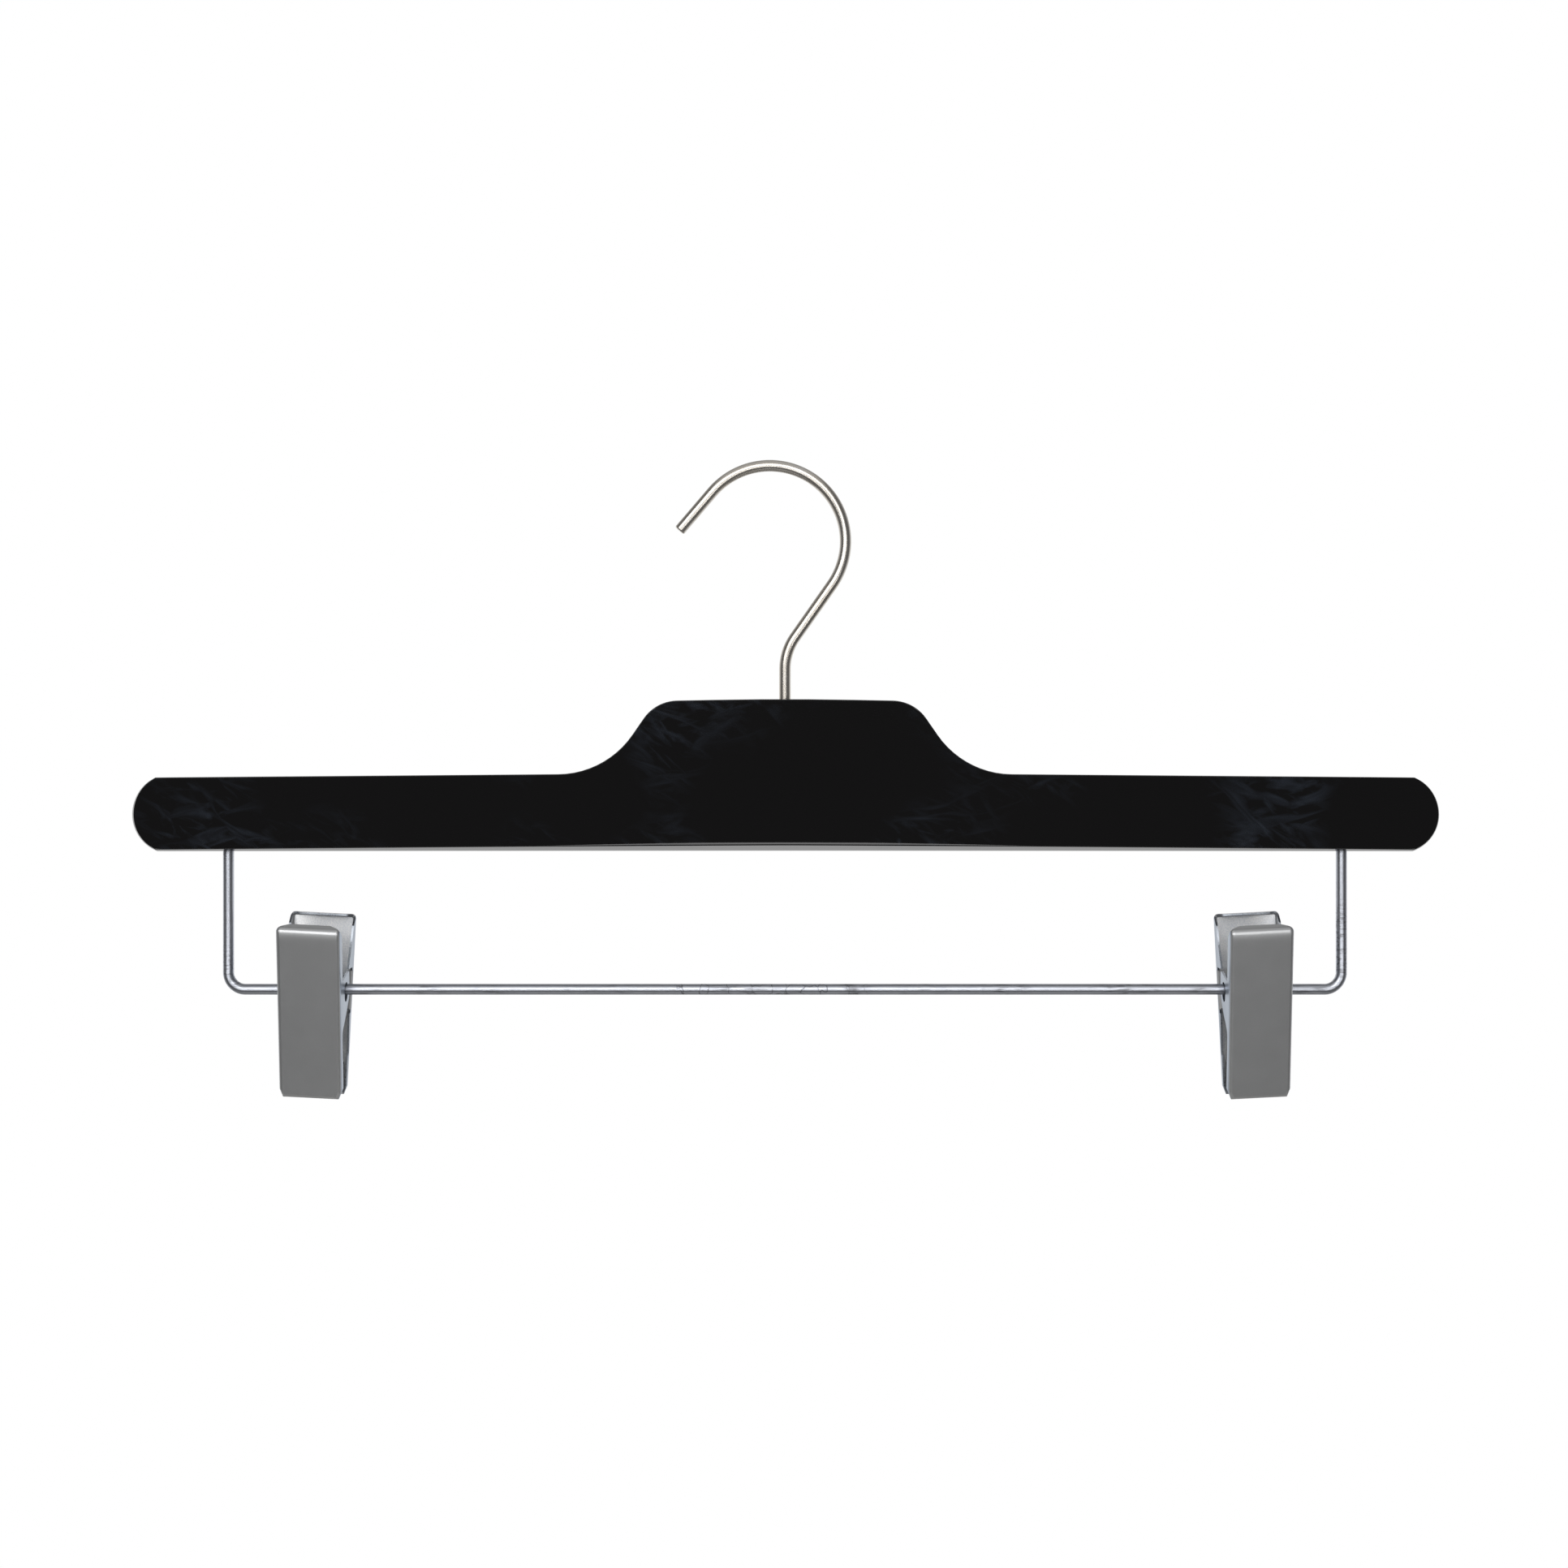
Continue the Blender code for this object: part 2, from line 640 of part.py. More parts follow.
def main():
    remove_everything()
    lacquer = material("black_lacquer", (0.004, 0.0035, 0.003), 0.12, coat=1.0)
    hook_steel = material("nickel_plated_wire", (0.36, 0.33, 0.30), 0.30, metallic=1.0)
    bar_steel = material("zinc_plated_wire", (0.38, 0.36, 0.34), 0.32, metallic=1.0)
    brass = material("bush_brass", (0.55, 0.42, 0.20), 0.35, metallic=1.0)
    swivel = axis_empty("swivel_axis", Matrix.Translation((swivel_x, 0, wood_top)))
    make_hook(hook_steel)
    make_beam(lacquer, swivel)
    make_bush(brass, swivel)
    make_bar(bar_steel, swivel)
    for side in ("left", "right"):
        looks = {
            "front_paint": material(f"{side}_front_satin_paint", (0.165, 0.165, 0.165), 0.45, metallic=0.6),
            "back_paint": material(f"{side}_back_satin_paint", (0.185, 0.190, 0.200), 0.42, metallic=0.6),
            "front_rubber": material(f"{side}_front_rubber", (0.020, 0.020, 0.020), 0.75),
            "back_rubber": material(f"{side}_back_rubber", (0.020, 0.020, 0.020), 0.75),
            "spring_steel": material(f"{side}_spring_steel", (0.22, 0.21, 0.20), 0.35, metallic=1.0),
        }
        make_clip(side, looks, swivel)
    even_out_shading()
    gap = least_self_gap(spring_route())
    print(f"Least gap between the springs' turns: {gap * 1000:.2f} mm")


main()
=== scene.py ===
import math

import bmesh
import bpy
from mathutils import Matrix, Vector
from mathutils.bvhtree import BVHTree


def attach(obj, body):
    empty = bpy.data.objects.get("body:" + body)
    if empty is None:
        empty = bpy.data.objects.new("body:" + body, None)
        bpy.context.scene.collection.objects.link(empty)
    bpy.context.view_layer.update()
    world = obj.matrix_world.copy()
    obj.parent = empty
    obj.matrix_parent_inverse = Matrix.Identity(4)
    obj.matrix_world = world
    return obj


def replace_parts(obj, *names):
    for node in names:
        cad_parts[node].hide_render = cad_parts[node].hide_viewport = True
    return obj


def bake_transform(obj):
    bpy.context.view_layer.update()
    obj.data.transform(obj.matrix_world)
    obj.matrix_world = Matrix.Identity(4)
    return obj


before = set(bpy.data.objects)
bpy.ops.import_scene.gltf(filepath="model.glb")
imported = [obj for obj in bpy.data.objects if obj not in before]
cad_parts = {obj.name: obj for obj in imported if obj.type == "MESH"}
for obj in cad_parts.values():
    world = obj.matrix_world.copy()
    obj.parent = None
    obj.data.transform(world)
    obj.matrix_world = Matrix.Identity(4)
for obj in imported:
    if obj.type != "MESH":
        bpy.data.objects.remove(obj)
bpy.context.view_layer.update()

# Sizes in metres and angles in radians. The origin is inside the hook's crown, +Z is up and -Y is the front.
seat_gap = 0.0003

# Wooden beam, in front view
beam_length = 0.3600
beam_thickness = 0.0120
beam_end_bulge = 0.0071
beam_back_radius = 0.0018
beam_edge_steps = 6
beam_station = 0.0040
beam_end_share = 0.9
face_edge = 0.00014
face_roll = 0.0013
face_roll_half_width = 0.045
face_roll_end_share = 1.5
ease_slope = math.radians(75)
ease_end_slope = math.radians(63)
ease_top = 0.00008
ease_left = 0.0012
ease_right = 0.0006
ease_bottom_middle = 0.00176
ease_bottom_fade = 0.00125
ease_fade_power = 1.3
ease_turn = 0.0012
arm_end_height = 0.0204
arm_root_height = 0.0214
neck_height = 0.0421
neck_crown_drop = 0.0007
neck_top_half_width = 0.0355
neck_foot_half_width = 0.0493
neck_corner_radius = 0.0114
neck_crown_radius = 1.0
shoulder_radius = 0.0250
beam_arc_step = math.radians(5)

# Hook
hook_wire = 0.0032
hook_crown_radius = 0.0210
hook_crown_offset = 0.0042
hook_tip_length = 0.0140
hook_tip_lean = math.radians(40.5)
hook_slant = math.radians(35.1)
hook_bend_radius = 0.0153
hook_shank_rise = 0.0083
hook_shank_depth = 0.0240
groove_depth = 0.0006
groove_height = 0.0022
groove_button = 0.0018

# Bush that holds the hook
bush_wall = 0.0009
bush_recess = 0.0008
bush_slit = 0.0008
bore_relief = 0.0010

# Bar
bar_wire = 0.0030
bar_inset = 0.0258
bar_drop = 0.0383
bar_bend_radius = 0.0047
bar_seat_depth = 0.0090

# Clips
clip_inset = 0.0239
clip_drop = 0.0003
clip_lean = math.radians(2.9)
front_width = 0.0174
back_width = 0.0182
clip_sheet = 0.00055
handle_length = 0.0212
jaw_length = 0.0293
jaw_tip_thickness = 0.0071
bar_play = 0.0013
ear_wall = 0.0018
ear_to_face = 0.0036
jaw_corner_width = 0.0009
shell_core = 0.0040
skin_step = 0.00003
skin_allowance = 1.3
flange_turn_share = 0.75
handle_roll_start = 0.0004
handle_roll_height = 0.0040
handle_roll_drop = 0.0007
handle_roll_fade = 0.0009
handle_roll_depth = 0.0033
handle_roll_steps = 14

# Grip pads
pad_height = 0.0076
pad_meeting_gap = 0.00015
rib_pitch = 0.00115
rib_depth = 0.00045
rib_points = 8
pad_first_depth = 0.001  # before its back is moved to its seat

# Clip springs
spring_wire = 0.0011
spring_bore_gap = 0.0002
spring_turn_gap = 0.0005
spring_turns = 6
spring_points = 36
spring_knee_radius = 0.0030
spring_foot_length = 0.0026
spring_foot_share = 0.56

# Marks on the lacquer and on the plate
smear_strokes = (  # each one's turn, length and width
    (math.radians(-22), 0.018, 0.0050),
    (math.radians(-40), 0.014, 0.0038),
    (math.radians(12), 0.016, 0.0042),
)
crack_warp = 0.003
crack_spacing = 0.0055
crack_full = 0.024
crack_end = 0.029
sheet_unevenness = 0.04

# How finely the shapes are drawn
wire_arc_step = math.radians(2.5)
wire_sides = 40
spring_sides = 20
wire_end_rounding = 0.0005
wire_end_steps = 6
spring_arc_step = math.radians(6)
turning_steps = 96
cut_overrun = 0.0020
weld_distance = 0.000001
split_tolerance = 0.0000001
flat_angle = math.radians(0.5)
sharp_angle = math.radians(32)
wire_sharp_angle = math.radians(50)
pad_sharp_angle = math.radians(60)

# Worked out from these
wire_radius = hook_wire / 2
bar_radius = bar_wire / 2
spring_radius = spring_wire / 2
bar_half_span = beam_length / 2 - bar_inset
clip_station = bar_half_span - clip_inset
ear_hole_radius = bar_radius + bar_play
ear_radius = ear_hole_radius + ear_wall
clip_face = ear_radius + ear_to_face
skin_depth = clip_sheet * skin_allowance
half_tip = jaw_tip_thickness / 2
half_angle = math.acos(half_tip / math.hypot(clip_face, jaw_length)) - math.atan2(jaw_length, clip_face)
coil_radius = ear_hole_radius + spring_bore_gap + spring_radius
bush_bore_radius = wire_radius + seat_gap
bush_radius = bush_bore_radius + bush_wall
groove_radius = wire_radius - groove_depth
crown_z = wire_radius - hook_crown_radius
slant_drop = (hook_crown_radius * math.cos(hook_slant) - hook_crown_offset) / math.tan(hook_slant)
bend_z = crown_z - hook_crown_radius * math.sin(hook_slant) - slant_drop
wood_top = bend_z - hook_bend_radius * math.tan(hook_slant / 2) - hook_shank_rise
wood_base = wood_top - neck_height
bar_z = wood_base - bar_drop
swivel_x = hook_crown_offset


# Nodes and materials

# A colour mix's sockets by number, because their names repeat: its share, its two colours and its result
mix_share, mix_first, mix_last, mix_result = 0, 6, 7, 2


def linear(hex_text):
    """An sRGB hex colour as linear red, green, blue and alpha."""
    shares = [int(hex_text[n : n + 2], 16) / 255 for n in (1, 3, 5)]
    return (*[s / 12.92 if s <= 0.04045 else ((s + 0.055) / 1.055) ** 2.4 for s in shares], 1.0)


def set_inputs(tree, node, inputs):
    """Links each of these inputs to a socket, or gives it a value."""
    for key, value in inputs.items():
        if isinstance(value, bpy.types.NodeSocket):
            tree.links.new(value, node.inputs[key])
        else:
            node.inputs[key].default_value = value


def add_node(tree, kind, inputs=None, **settings):
    """One node with its settings and its inputs."""
    made = tree.nodes.new(kind)
    for name, value in settings.items():
        setattr(made, name, value)
    set_inputs(tree, made, inputs or {})
    return made


def start_material(name):
    """A material with its tree, its shader and the object's coordinates."""
    made = bpy.data.materials.new(name)
    made.use_nodes = True
    tree = made.node_tree
    place = add_node(tree, "ShaderNodeTexCoord").outputs["Object"]
    return made, tree, tree.nodes["Principled BSDF"], place


def per_metre(size):
    """The scale of a pattern whose features are this large."""
    return 1 / size


def wiped_smears(tree, place):
    """Faint strokes in a few directions, gathered in patches, as a cloth leaves them on a polished face."""
    every = 0.0
    for turn, length, width in smear_strokes:
        turned = add_node(tree, "ShaderNodeMapping", {"Vector": place, "Rotation": (0.0, turn, 0.0)})
        drawn = add_node(tree, "ShaderNodeMapping", {
            "Vector": turned.outputs["Vector"],
            "Scale": (per_metre(length), per_metre(length), per_metre(width))})
        wiped = add_node(tree, "ShaderNodeTexNoise", {
            "Vector": drawn.outputs["Vector"], "Scale": 1.0, "Detail": 3.0, "Distortion": 1.1})
        stroke = add_node(tree, "ShaderNodeMapRange", {
            "Value": wiped.outputs["Fac"], "From Min": 0.54, "From Max": 0.78})
        every = add_node(tree, "ShaderNodeMath", {
            0: every, 1: stroke.outputs["Result"]}, operation="MAXIMUM").outputs[0]
    cloud = add_node(tree, "ShaderNodeTexNoise", {
        "Vector": place, "Scale": per_metre(0.040), "Detail": 1.0})
    patches = add_node(tree, "ShaderNodeMapRange", {
        "Value": cloud.outputs["Fac"], "From Min": 0.46, "From Max": 0.66})
    return add_node(tree, "ShaderNodeMath", {
        0: every, 1: patches.outputs["Result"]}, operation="MULTIPLY").outputs[0]


def black_lacquer():
    # Polyurethane lacquer, sprayed black on beech and polished: nearly a mirror, with faint wiped smears.
    made, tree, shader, place = start_material("black_polished_lacquer_on_beech")
    smears = wiped_smears(tree, place)
    tint = add_node(tree, "ShaderNodeMix", {
        mix_share: smears, mix_first: linear("#080708"), mix_last: linear("#262c36")}, data_type="RGBA")
    dulled = add_node(tree, "ShaderNodeMapRange", {"Value": smears, "To Min": 0.05, "To Max": 0.14})
    # Spray leaves a faint ripple, which the polish doesn't take out.
    ripple = add_node(tree, "ShaderNodeTexNoise", {
        "Vector": place, "Scale": per_metre(0.0016), "Detail": 1.0})
    relief = add_node(tree, "ShaderNodeBump", {
        "Height": ripple.outputs["Fac"], "Strength": 0.10, "Distance": 0.00002})
    set_inputs(tree, shader, {
        "Base Color": tint.outputs[mix_result], "Roughness": dulled.outputs["Result"],
        "Normal": relief.outputs["Normal"], "IOR": 1.5})
    return made


def satin_nickel():
    # Nickel plate on drawn steel wire: faintly warm and satin, with drawing marks.
    # The real marks are finer, and these are as coarse as they need to be to show.
    made, tree, shader, place = start_material("satin_nickel_plate_on_wire")
    marks = add_node(tree, "ShaderNodeTexNoise", {
        "Vector": place, "Scale": per_metre(0.0003), "Detail": 2.0})
    cloud = add_node(tree, "ShaderNodeTexNoise", {
        "Vector": place, "Scale": per_metre(0.006), "Detail": 1.0})
    tint = add_node(tree, "ShaderNodeMix", {
        mix_share: cloud.outputs["Fac"], mix_first: linear("#cdc5b9"), mix_last: linear("#d9d6d2"),
    }, data_type="RGBA")
    satin = add_node(tree, "ShaderNodeMapRange", {
        "Value": marks.outputs["Fac"], "From Min": 0.3, "From Max": 0.7, "To Min": 0.22, "To Max": 0.30})
    set_inputs(tree, shader, {
        "Base Color": tint.outputs[mix_result], "Metallic": 1.0, "Roughness": satin.outputs["Result"]})
    return made


def plate_cracks(tree, place):
    """Fine cracks in the bar's plate, in the stretch where folded trousers hang."""
    warp = add_node(tree, "ShaderNodeTexNoise", {
        "Vector": place, "Scale": per_metre(crack_warp), "Detail": 3.0})
    bent = add_node(tree, "ShaderNodeVectorMath", {
        0: warp.outputs["Color"], 1: (crack_warp,) * 3, 2: place}, operation="MULTIPLY_ADD")
    cells = add_node(tree, "ShaderNodeTexVoronoi", {
        "Vector": bent.outputs[0], "Scale": per_metre(crack_spacing)}, feature="DISTANCE_TO_EDGE")
    lines = add_node(tree, "ShaderNodeMapRange", {
        "Value": cells.outputs["Distance"], "From Min": 0.006, "From Max": 0.026,
        "To Min": 1.0, "To Max": 0.0})
    along = add_node(tree, "ShaderNodeSeparateXYZ", {"Vector": place})
    off_middle = add_node(tree, "ShaderNodeMath", {0: along.outputs["X"]}, operation="ABSOLUTE")
    stretch = add_node(tree, "ShaderNodeMapRange", {
        "Value": off_middle.outputs[0], "From Min": crack_full, "From Max": crack_end,
        "To Min": 0.75, "To Max": 0.0})
    return add_node(tree, "ShaderNodeMath", {
        0: lines.outputs["Result"], 1: stretch.outputs["Result"]}, operation="MULTIPLY").outputs[0]


def zinc_wire():
    # Bright zinc plate on drawn steel wire: bluish grey, with scuffs where the clips have slid along it.
    made, tree, shader, place = start_material("bright_zinc_plate_on_wire")
    drawn = add_node(tree, "ShaderNodeMapping", {"Vector": place, "Scale": (0.10, 1.0, 1.0)})
    marks = add_node(tree, "ShaderNodeTexNoise", {
        "Vector": drawn.outputs["Vector"], "Scale": per_metre(0.0005), "Detail": 3.0})
    cloud = add_node(tree, "ShaderNodeTexNoise", {
        "Vector": place, "Scale": per_metre(0.018), "Detail": 1.0})
    lines = add_node(tree, "ShaderNodeMapRange", {
        "Value": marks.outputs["Fac"], "From Min": 0.50, "From Max": 0.66})
    patches = add_node(tree, "ShaderNodeMapRange", {
        "Value": cloud.outputs["Fac"], "From Min": 0.45, "From Max": 0.62, "To Min": 0.10, "To Max": 0.7})
    rubbed = add_node(tree, "ShaderNodeMath", {
        0: lines.outputs["Result"], 1: patches.outputs["Result"]}, operation="MULTIPLY")
    scuffs = add_node(tree, "ShaderNodeMath", {
        0: rubbed.outputs[0], 1: plate_cracks(tree, place)}, operation="MAXIMUM").outputs[0]
    tint = add_node(tree, "ShaderNodeMix", {
        mix_share: scuffs, mix_first: linear("#c0c3cb"), mix_last: linear("#5a595c")}, data_type="RGBA")
    dulled = add_node(tree, "ShaderNodeMapRange", {"Value": scuffs, "To Min": 0.30, "To Max": 0.44})
    set_inputs(tree, shader, {
        "Base Color": tint.outputs[mix_result], "Metallic": 1.0, "Roughness": dulled.outputs["Result"]})
    return made


def zinc_sheet(name, dark, light, roughness, relief, grit):
    """Zinc-plated steel sheet between two greys, with grit of a given size in its plate."""
    made, tree, shader, place = start_material(name)
    speckle = add_node(tree, "ShaderNodeTexNoise", {
        "Vector": place, "Scale": per_metre(grit), "Detail": 2.0}).outputs["Fac"]
    cloud = add_node(tree, "ShaderNodeTexNoise", {
        "Vector": place, "Scale": per_metre(0.008), "Detail": 1.0}).outputs["Fac"]
    fine = add_node(tree, "ShaderNodeMapRange", {
        "Value": speckle, "From Min": 0.3, "From Max": 0.7, "To Max": 0.6})
    broad = add_node(tree, "ShaderNodeMapRange", {
        "Value": cloud, "From Min": 0.3, "From Max": 0.7, "To Max": 0.4})
    share = add_node(tree, "ShaderNodeMath", {
        0: fine.outputs["Result"], 1: broad.outputs["Result"]}, operation="ADD")
    tint = add_node(tree, "ShaderNodeMix", {
        mix_share: share.outputs[0], mix_first: linear(dark), mix_last: linear(light)}, data_type="RGBA")
    uneven = add_node(tree, "ShaderNodeMapRange", {
        "Value": speckle, "From Min": 0.3, "From Max": 0.7,
        "To Min": roughness - sheet_unevenness, "To Max": roughness + sheet_unevenness})
    grain = add_node(tree, "ShaderNodeBump", {"Height": speckle, "Strength": relief, "Distance": 0.00003})
    set_inputs(tree, shader, {
        "Base Color": tint.outputs[mix_result], "Metallic": 1.0,
        "Roughness": uneven.outputs["Result"], "Normal": grain.outputs["Normal"]})
    return made


def shell_finishes():
    # Pressed and barrel-finished: the outside is an even satin grey with a fine grain.
    # The real grit is finer than a fifth of a millimetre, and is drawn that coarse to show.
    outside = zinc_sheet("satin_zinc_plated_sheet", "#c8c9ca", "#d1d2d3", 0.43, 0.08, 0.00022)
    # The inside isn't rubbed, so its plate is rough and spangled. Its brighter grey is partly that bare plate
    # and partly a painted highlight, for the bright band on the inner face of the back handle.
    inside = zinc_sheet("spangled_zinc_plated_sheet", "#ced2d8", "#fbfaf8", 0.38, 0.40, 0.00035)
    # Sheared edges of the sheet: smooth and bluish, with little plate on them.
    edge = zinc_sheet("sheared_zinc_plated_edge", "#8f959d", "#bcc1c8", 0.30, 0.10, 0.00030)
    # Faces that turn sideways, the flanges, get a bluish grey darker than the face's: a painted reflection of
    # the room on the sides. Their plate is a little less rough and coarser in grain.
    flange = zinc_sheet("bluish_zinc_plated_flange", "#98a1ad", "#b2bbc6", 0.40, 0.16, 0.00030)
    return {"outside": outside, "inside": inside, "edge": edge, "flange": flange}


def spring_steel():
    # Oil-tempered spring wire: dark grey-brown and slightly mottled.
    made, tree, shader, place = start_material("oil_tempered_spring_steel")
    mottle = add_node(tree, "ShaderNodeTexNoise", {
        "Vector": place, "Scale": per_metre(0.0008), "Detail": 3.0})
    tint = add_node(tree, "ShaderNodeMix", {
        mix_share: mottle.outputs["Fac"], mix_first: linear("#5c5853"), mix_last: linear("#8d8984"),
    }, data_type="RGBA")
    set_inputs(tree, shader, {"Base Color": tint.outputs[mix_result], "Metallic": 1.0, "Roughness": 0.32})
    return made


def grip_rubber():
    # Moulded PVC rubber: matte black, slightly dusty on its grain, which is drawn coarse enough to show.
    made, tree, shader, place = start_material("moulded_black_pvc_rubber")
    grain = add_node(tree, "ShaderNodeTexNoise", {
        "Vector": place, "Scale": per_metre(0.0003), "Detail": 3.0}).outputs["Fac"]
    tint = add_node(tree, "ShaderNodeMix", {
        mix_share: grain, mix_first: linear("#1a1a1b"), mix_last: linear("#2c2c2d")}, data_type="RGBA")
    relief = add_node(tree, "ShaderNodeBump", {"Height": grain, "Strength": 0.3, "Distance": 0.00003})
    set_inputs(tree, shader, {
        "Base Color": tint.outputs[mix_result], "Roughness": 0.62, "Normal": relief.outputs["Normal"]})
    return made


def turned_brass():
    # Free-cutting brass, turned on a lathe: yellow, with rings about its axis, coarse enough to show.
    made, tree, shader, place = start_material("turned_brass")
    rings = add_node(tree, "ShaderNodeTexWave", {
        "Vector": place, "Scale": per_metre(0.002), "Distortion": 0.4}, bands_direction="Z")
    tint = add_node(tree, "ShaderNodeMix", {
        mix_share: rings.outputs["Fac"], mix_first: linear("#b79a55"), mix_last: linear("#cdb16b"),
    }, data_type="RGBA")
    set_inputs(tree, shader, {"Base Color": tint.outputs[mix_result], "Metallic": 1.0, "Roughness": 0.3})
    return made


# Shapes

def arc(centre, radius, first, last, step=wire_arc_step):
    """Points on a circle about centre, from the first angle to the last."""
    steps = max(2, math.ceil(abs(last - first) / step))
    angles = [first + (last - first) * k / steps for k in range(steps + 1)]
    return [Vector(centre) + Vector((math.cos(a), math.sin(a))) * radius for a in angles]


def rounded(corners, step=wire_arc_step):
    """The outline through these (x, z, radius) corners, with an arc at each one that has a radius."""
    points = []
    for n, (x, z, radius) in enumerate(corners):
        here = Vector((x, z))
        if not radius:
            points.append(here)
            continue
        back = (Vector(corners[n - 1][:2]) - here).normalized()
        on = (Vector(corners[(n + 1) % len(corners)][:2]) - here).normalized()
        turn = math.pi - back.angle(on)
        centre = here + (back + on).normalized() * (radius / math.cos(turn / 2))
        start = here + back * (radius * math.tan(turn / 2)) - centre
        way = 1 if back.x * on.y - back.y * on.x < 0 else -1
        steps = max(3, math.ceil(turn / step))
        points += [centre + Matrix.Rotation(way * turn * k / steps, 2) @ start for k in range(steps + 1)]
    return points


def place_in_scene(name, mesh, material, matrix=None):
    """A new object whose place is in its mesh, smooth but for its sharp edges."""
    if matrix:
        mesh.transform(matrix)
    mesh.shade_smooth()
    mesh.set_sharp_from_angle(angle=sharp_angle)
    if material:
        mesh.materials.append(material)
    obj = bpy.data.objects.new(name, mesh)
    bpy.context.scene.collection.objects.link(obj)
    return obj


def from_bmesh(name, bm):
    """A mesh of a bmesh, with its faces pointing outward."""
    mesh = bpy.data.meshes.new(name)
    bmesh.ops.recalc_face_normals(bm, faces=bm.faces)
    bm.to_mesh(mesh)
    bm.free()
    return mesh


def turn_outward(mesh, weld=False):
    """Points every face of a mesh outward, after joining the corners that meet if that is asked."""
    bm = bmesh.new()
    bm.from_mesh(mesh)
    if weld:
        bmesh.ops.remove_doubles(bm, verts=bm.verts, dist=weld_distance)
    bmesh.ops.recalc_face_normals(bm, faces=bm.faces)
    bm.to_mesh(mesh)
    bm.free()


def made_plain(obj):
    """Turns what an object's modifiers make into its mesh, and removes the modifiers."""
    shown = obj.evaluated_get(bpy.context.evaluated_depsgraph_get())
    obj.data = bpy.data.meshes.new_from_object(shown)
    obj.modifiers.clear()
    return obj


def cut(target, bm):
    """Cuts a bmesh out of an object."""
    tool = place_in_scene("cutter", from_bmesh("cutter", bm), None)
    modifier = target.modifiers.new("cut", "BOOLEAN")
    modifier.solver = "EXACT"
    modifier.object = tool
    bpy.context.view_layer.update()
    made_plain(target)
    bpy.data.objects.remove(tool)


def round_cutter(radius, low, high, x):
    """A bmesh: an upright cylinder in the middle of the wood's thickness."""
    bm = bmesh.new()
    angles = [2 * math.pi * k / turning_steps for k in range(turning_steps)]
    rim = [bm.verts.new((x + radius * math.cos(a), radius * math.sin(a), low)) for a in angles]
    raised = bmesh.ops.extrude_face_region(bm, geom=[bm.faces.new(rim)])["geom"]
    top = [v for v in raised if isinstance(v, bmesh.types.BMVert)]
    bmesh.ops.translate(bm, verts=top, vec=(0, 0, high - low))
    return bm


def settle_normals(obj):
    """Lets large flat faces stay flat beside their rounded edges."""
    weighted = obj.modifiers.new("weighted_normals", "WEIGHTED_NORMAL")
    weighted.keep_sharp = True
    return made_plain(obj)


# Geometry Nodes

def tree_with_inputs(name, inputs):
    """An empty tree with a geometry input and output and these named inputs."""
    tree = bpy.data.node_groups.new(name, "GeometryNodeTree")
    tree.interface.new_socket("Geometry", in_out="INPUT", socket_type="NodeSocketGeometry")
    tree.interface.new_socket("Geometry", in_out="OUTPUT", socket_type="NodeSocketGeometry")
    for socket_name, kind in inputs:
        tree.interface.new_socket(socket_name, in_out="INPUT", socket_type=kind)
    return tree, add_node(tree, "NodeGroupInput").outputs


def end_tree(tree, geometry, material):
    """Realize Instances and Set Material, then the output."""
    real = add_node(tree, "GeometryNodeRealizeInstances", {"Geometry": geometry})
    painted = add_node(tree, "GeometryNodeSetMaterial", {
        "Geometry": real.outputs["Geometry"], "Material": material})
    add_node(tree, "NodeGroupOutput", {0: painted.outputs["Geometry"]})


def wire_tree():
    """A round wire along a route, as thick at each point as its share says."""
    tree, given = tree_with_inputs("wire_along_route", [
        ("Radius", "NodeSocketFloat"), ("Sides", "NodeSocketInt"), ("Finish", "NodeSocketMaterial")])
    route = add_node(tree, "GeometryNodeMeshToCurve", {"Mesh": given["Geometry"]})
    ring = add_node(tree, "GeometryNodeCurvePrimitiveCircle", {
        "Resolution": given["Sides"], "Radius": given["Radius"]})
    share = add_node(tree, "GeometryNodeInputNamedAttribute", {"Name": "share"}, data_type="FLOAT")
    tube = add_node(tree, "GeometryNodeCurveToMesh", {
        "Curve": route.outputs["Curve"], "Profile Curve": ring.outputs["Curve"],
        "Scale": share.outputs["Attribute"], "Fill Caps": True})
    end_tree(tree, tube.outputs["Mesh"], given["Finish"])
    return tree


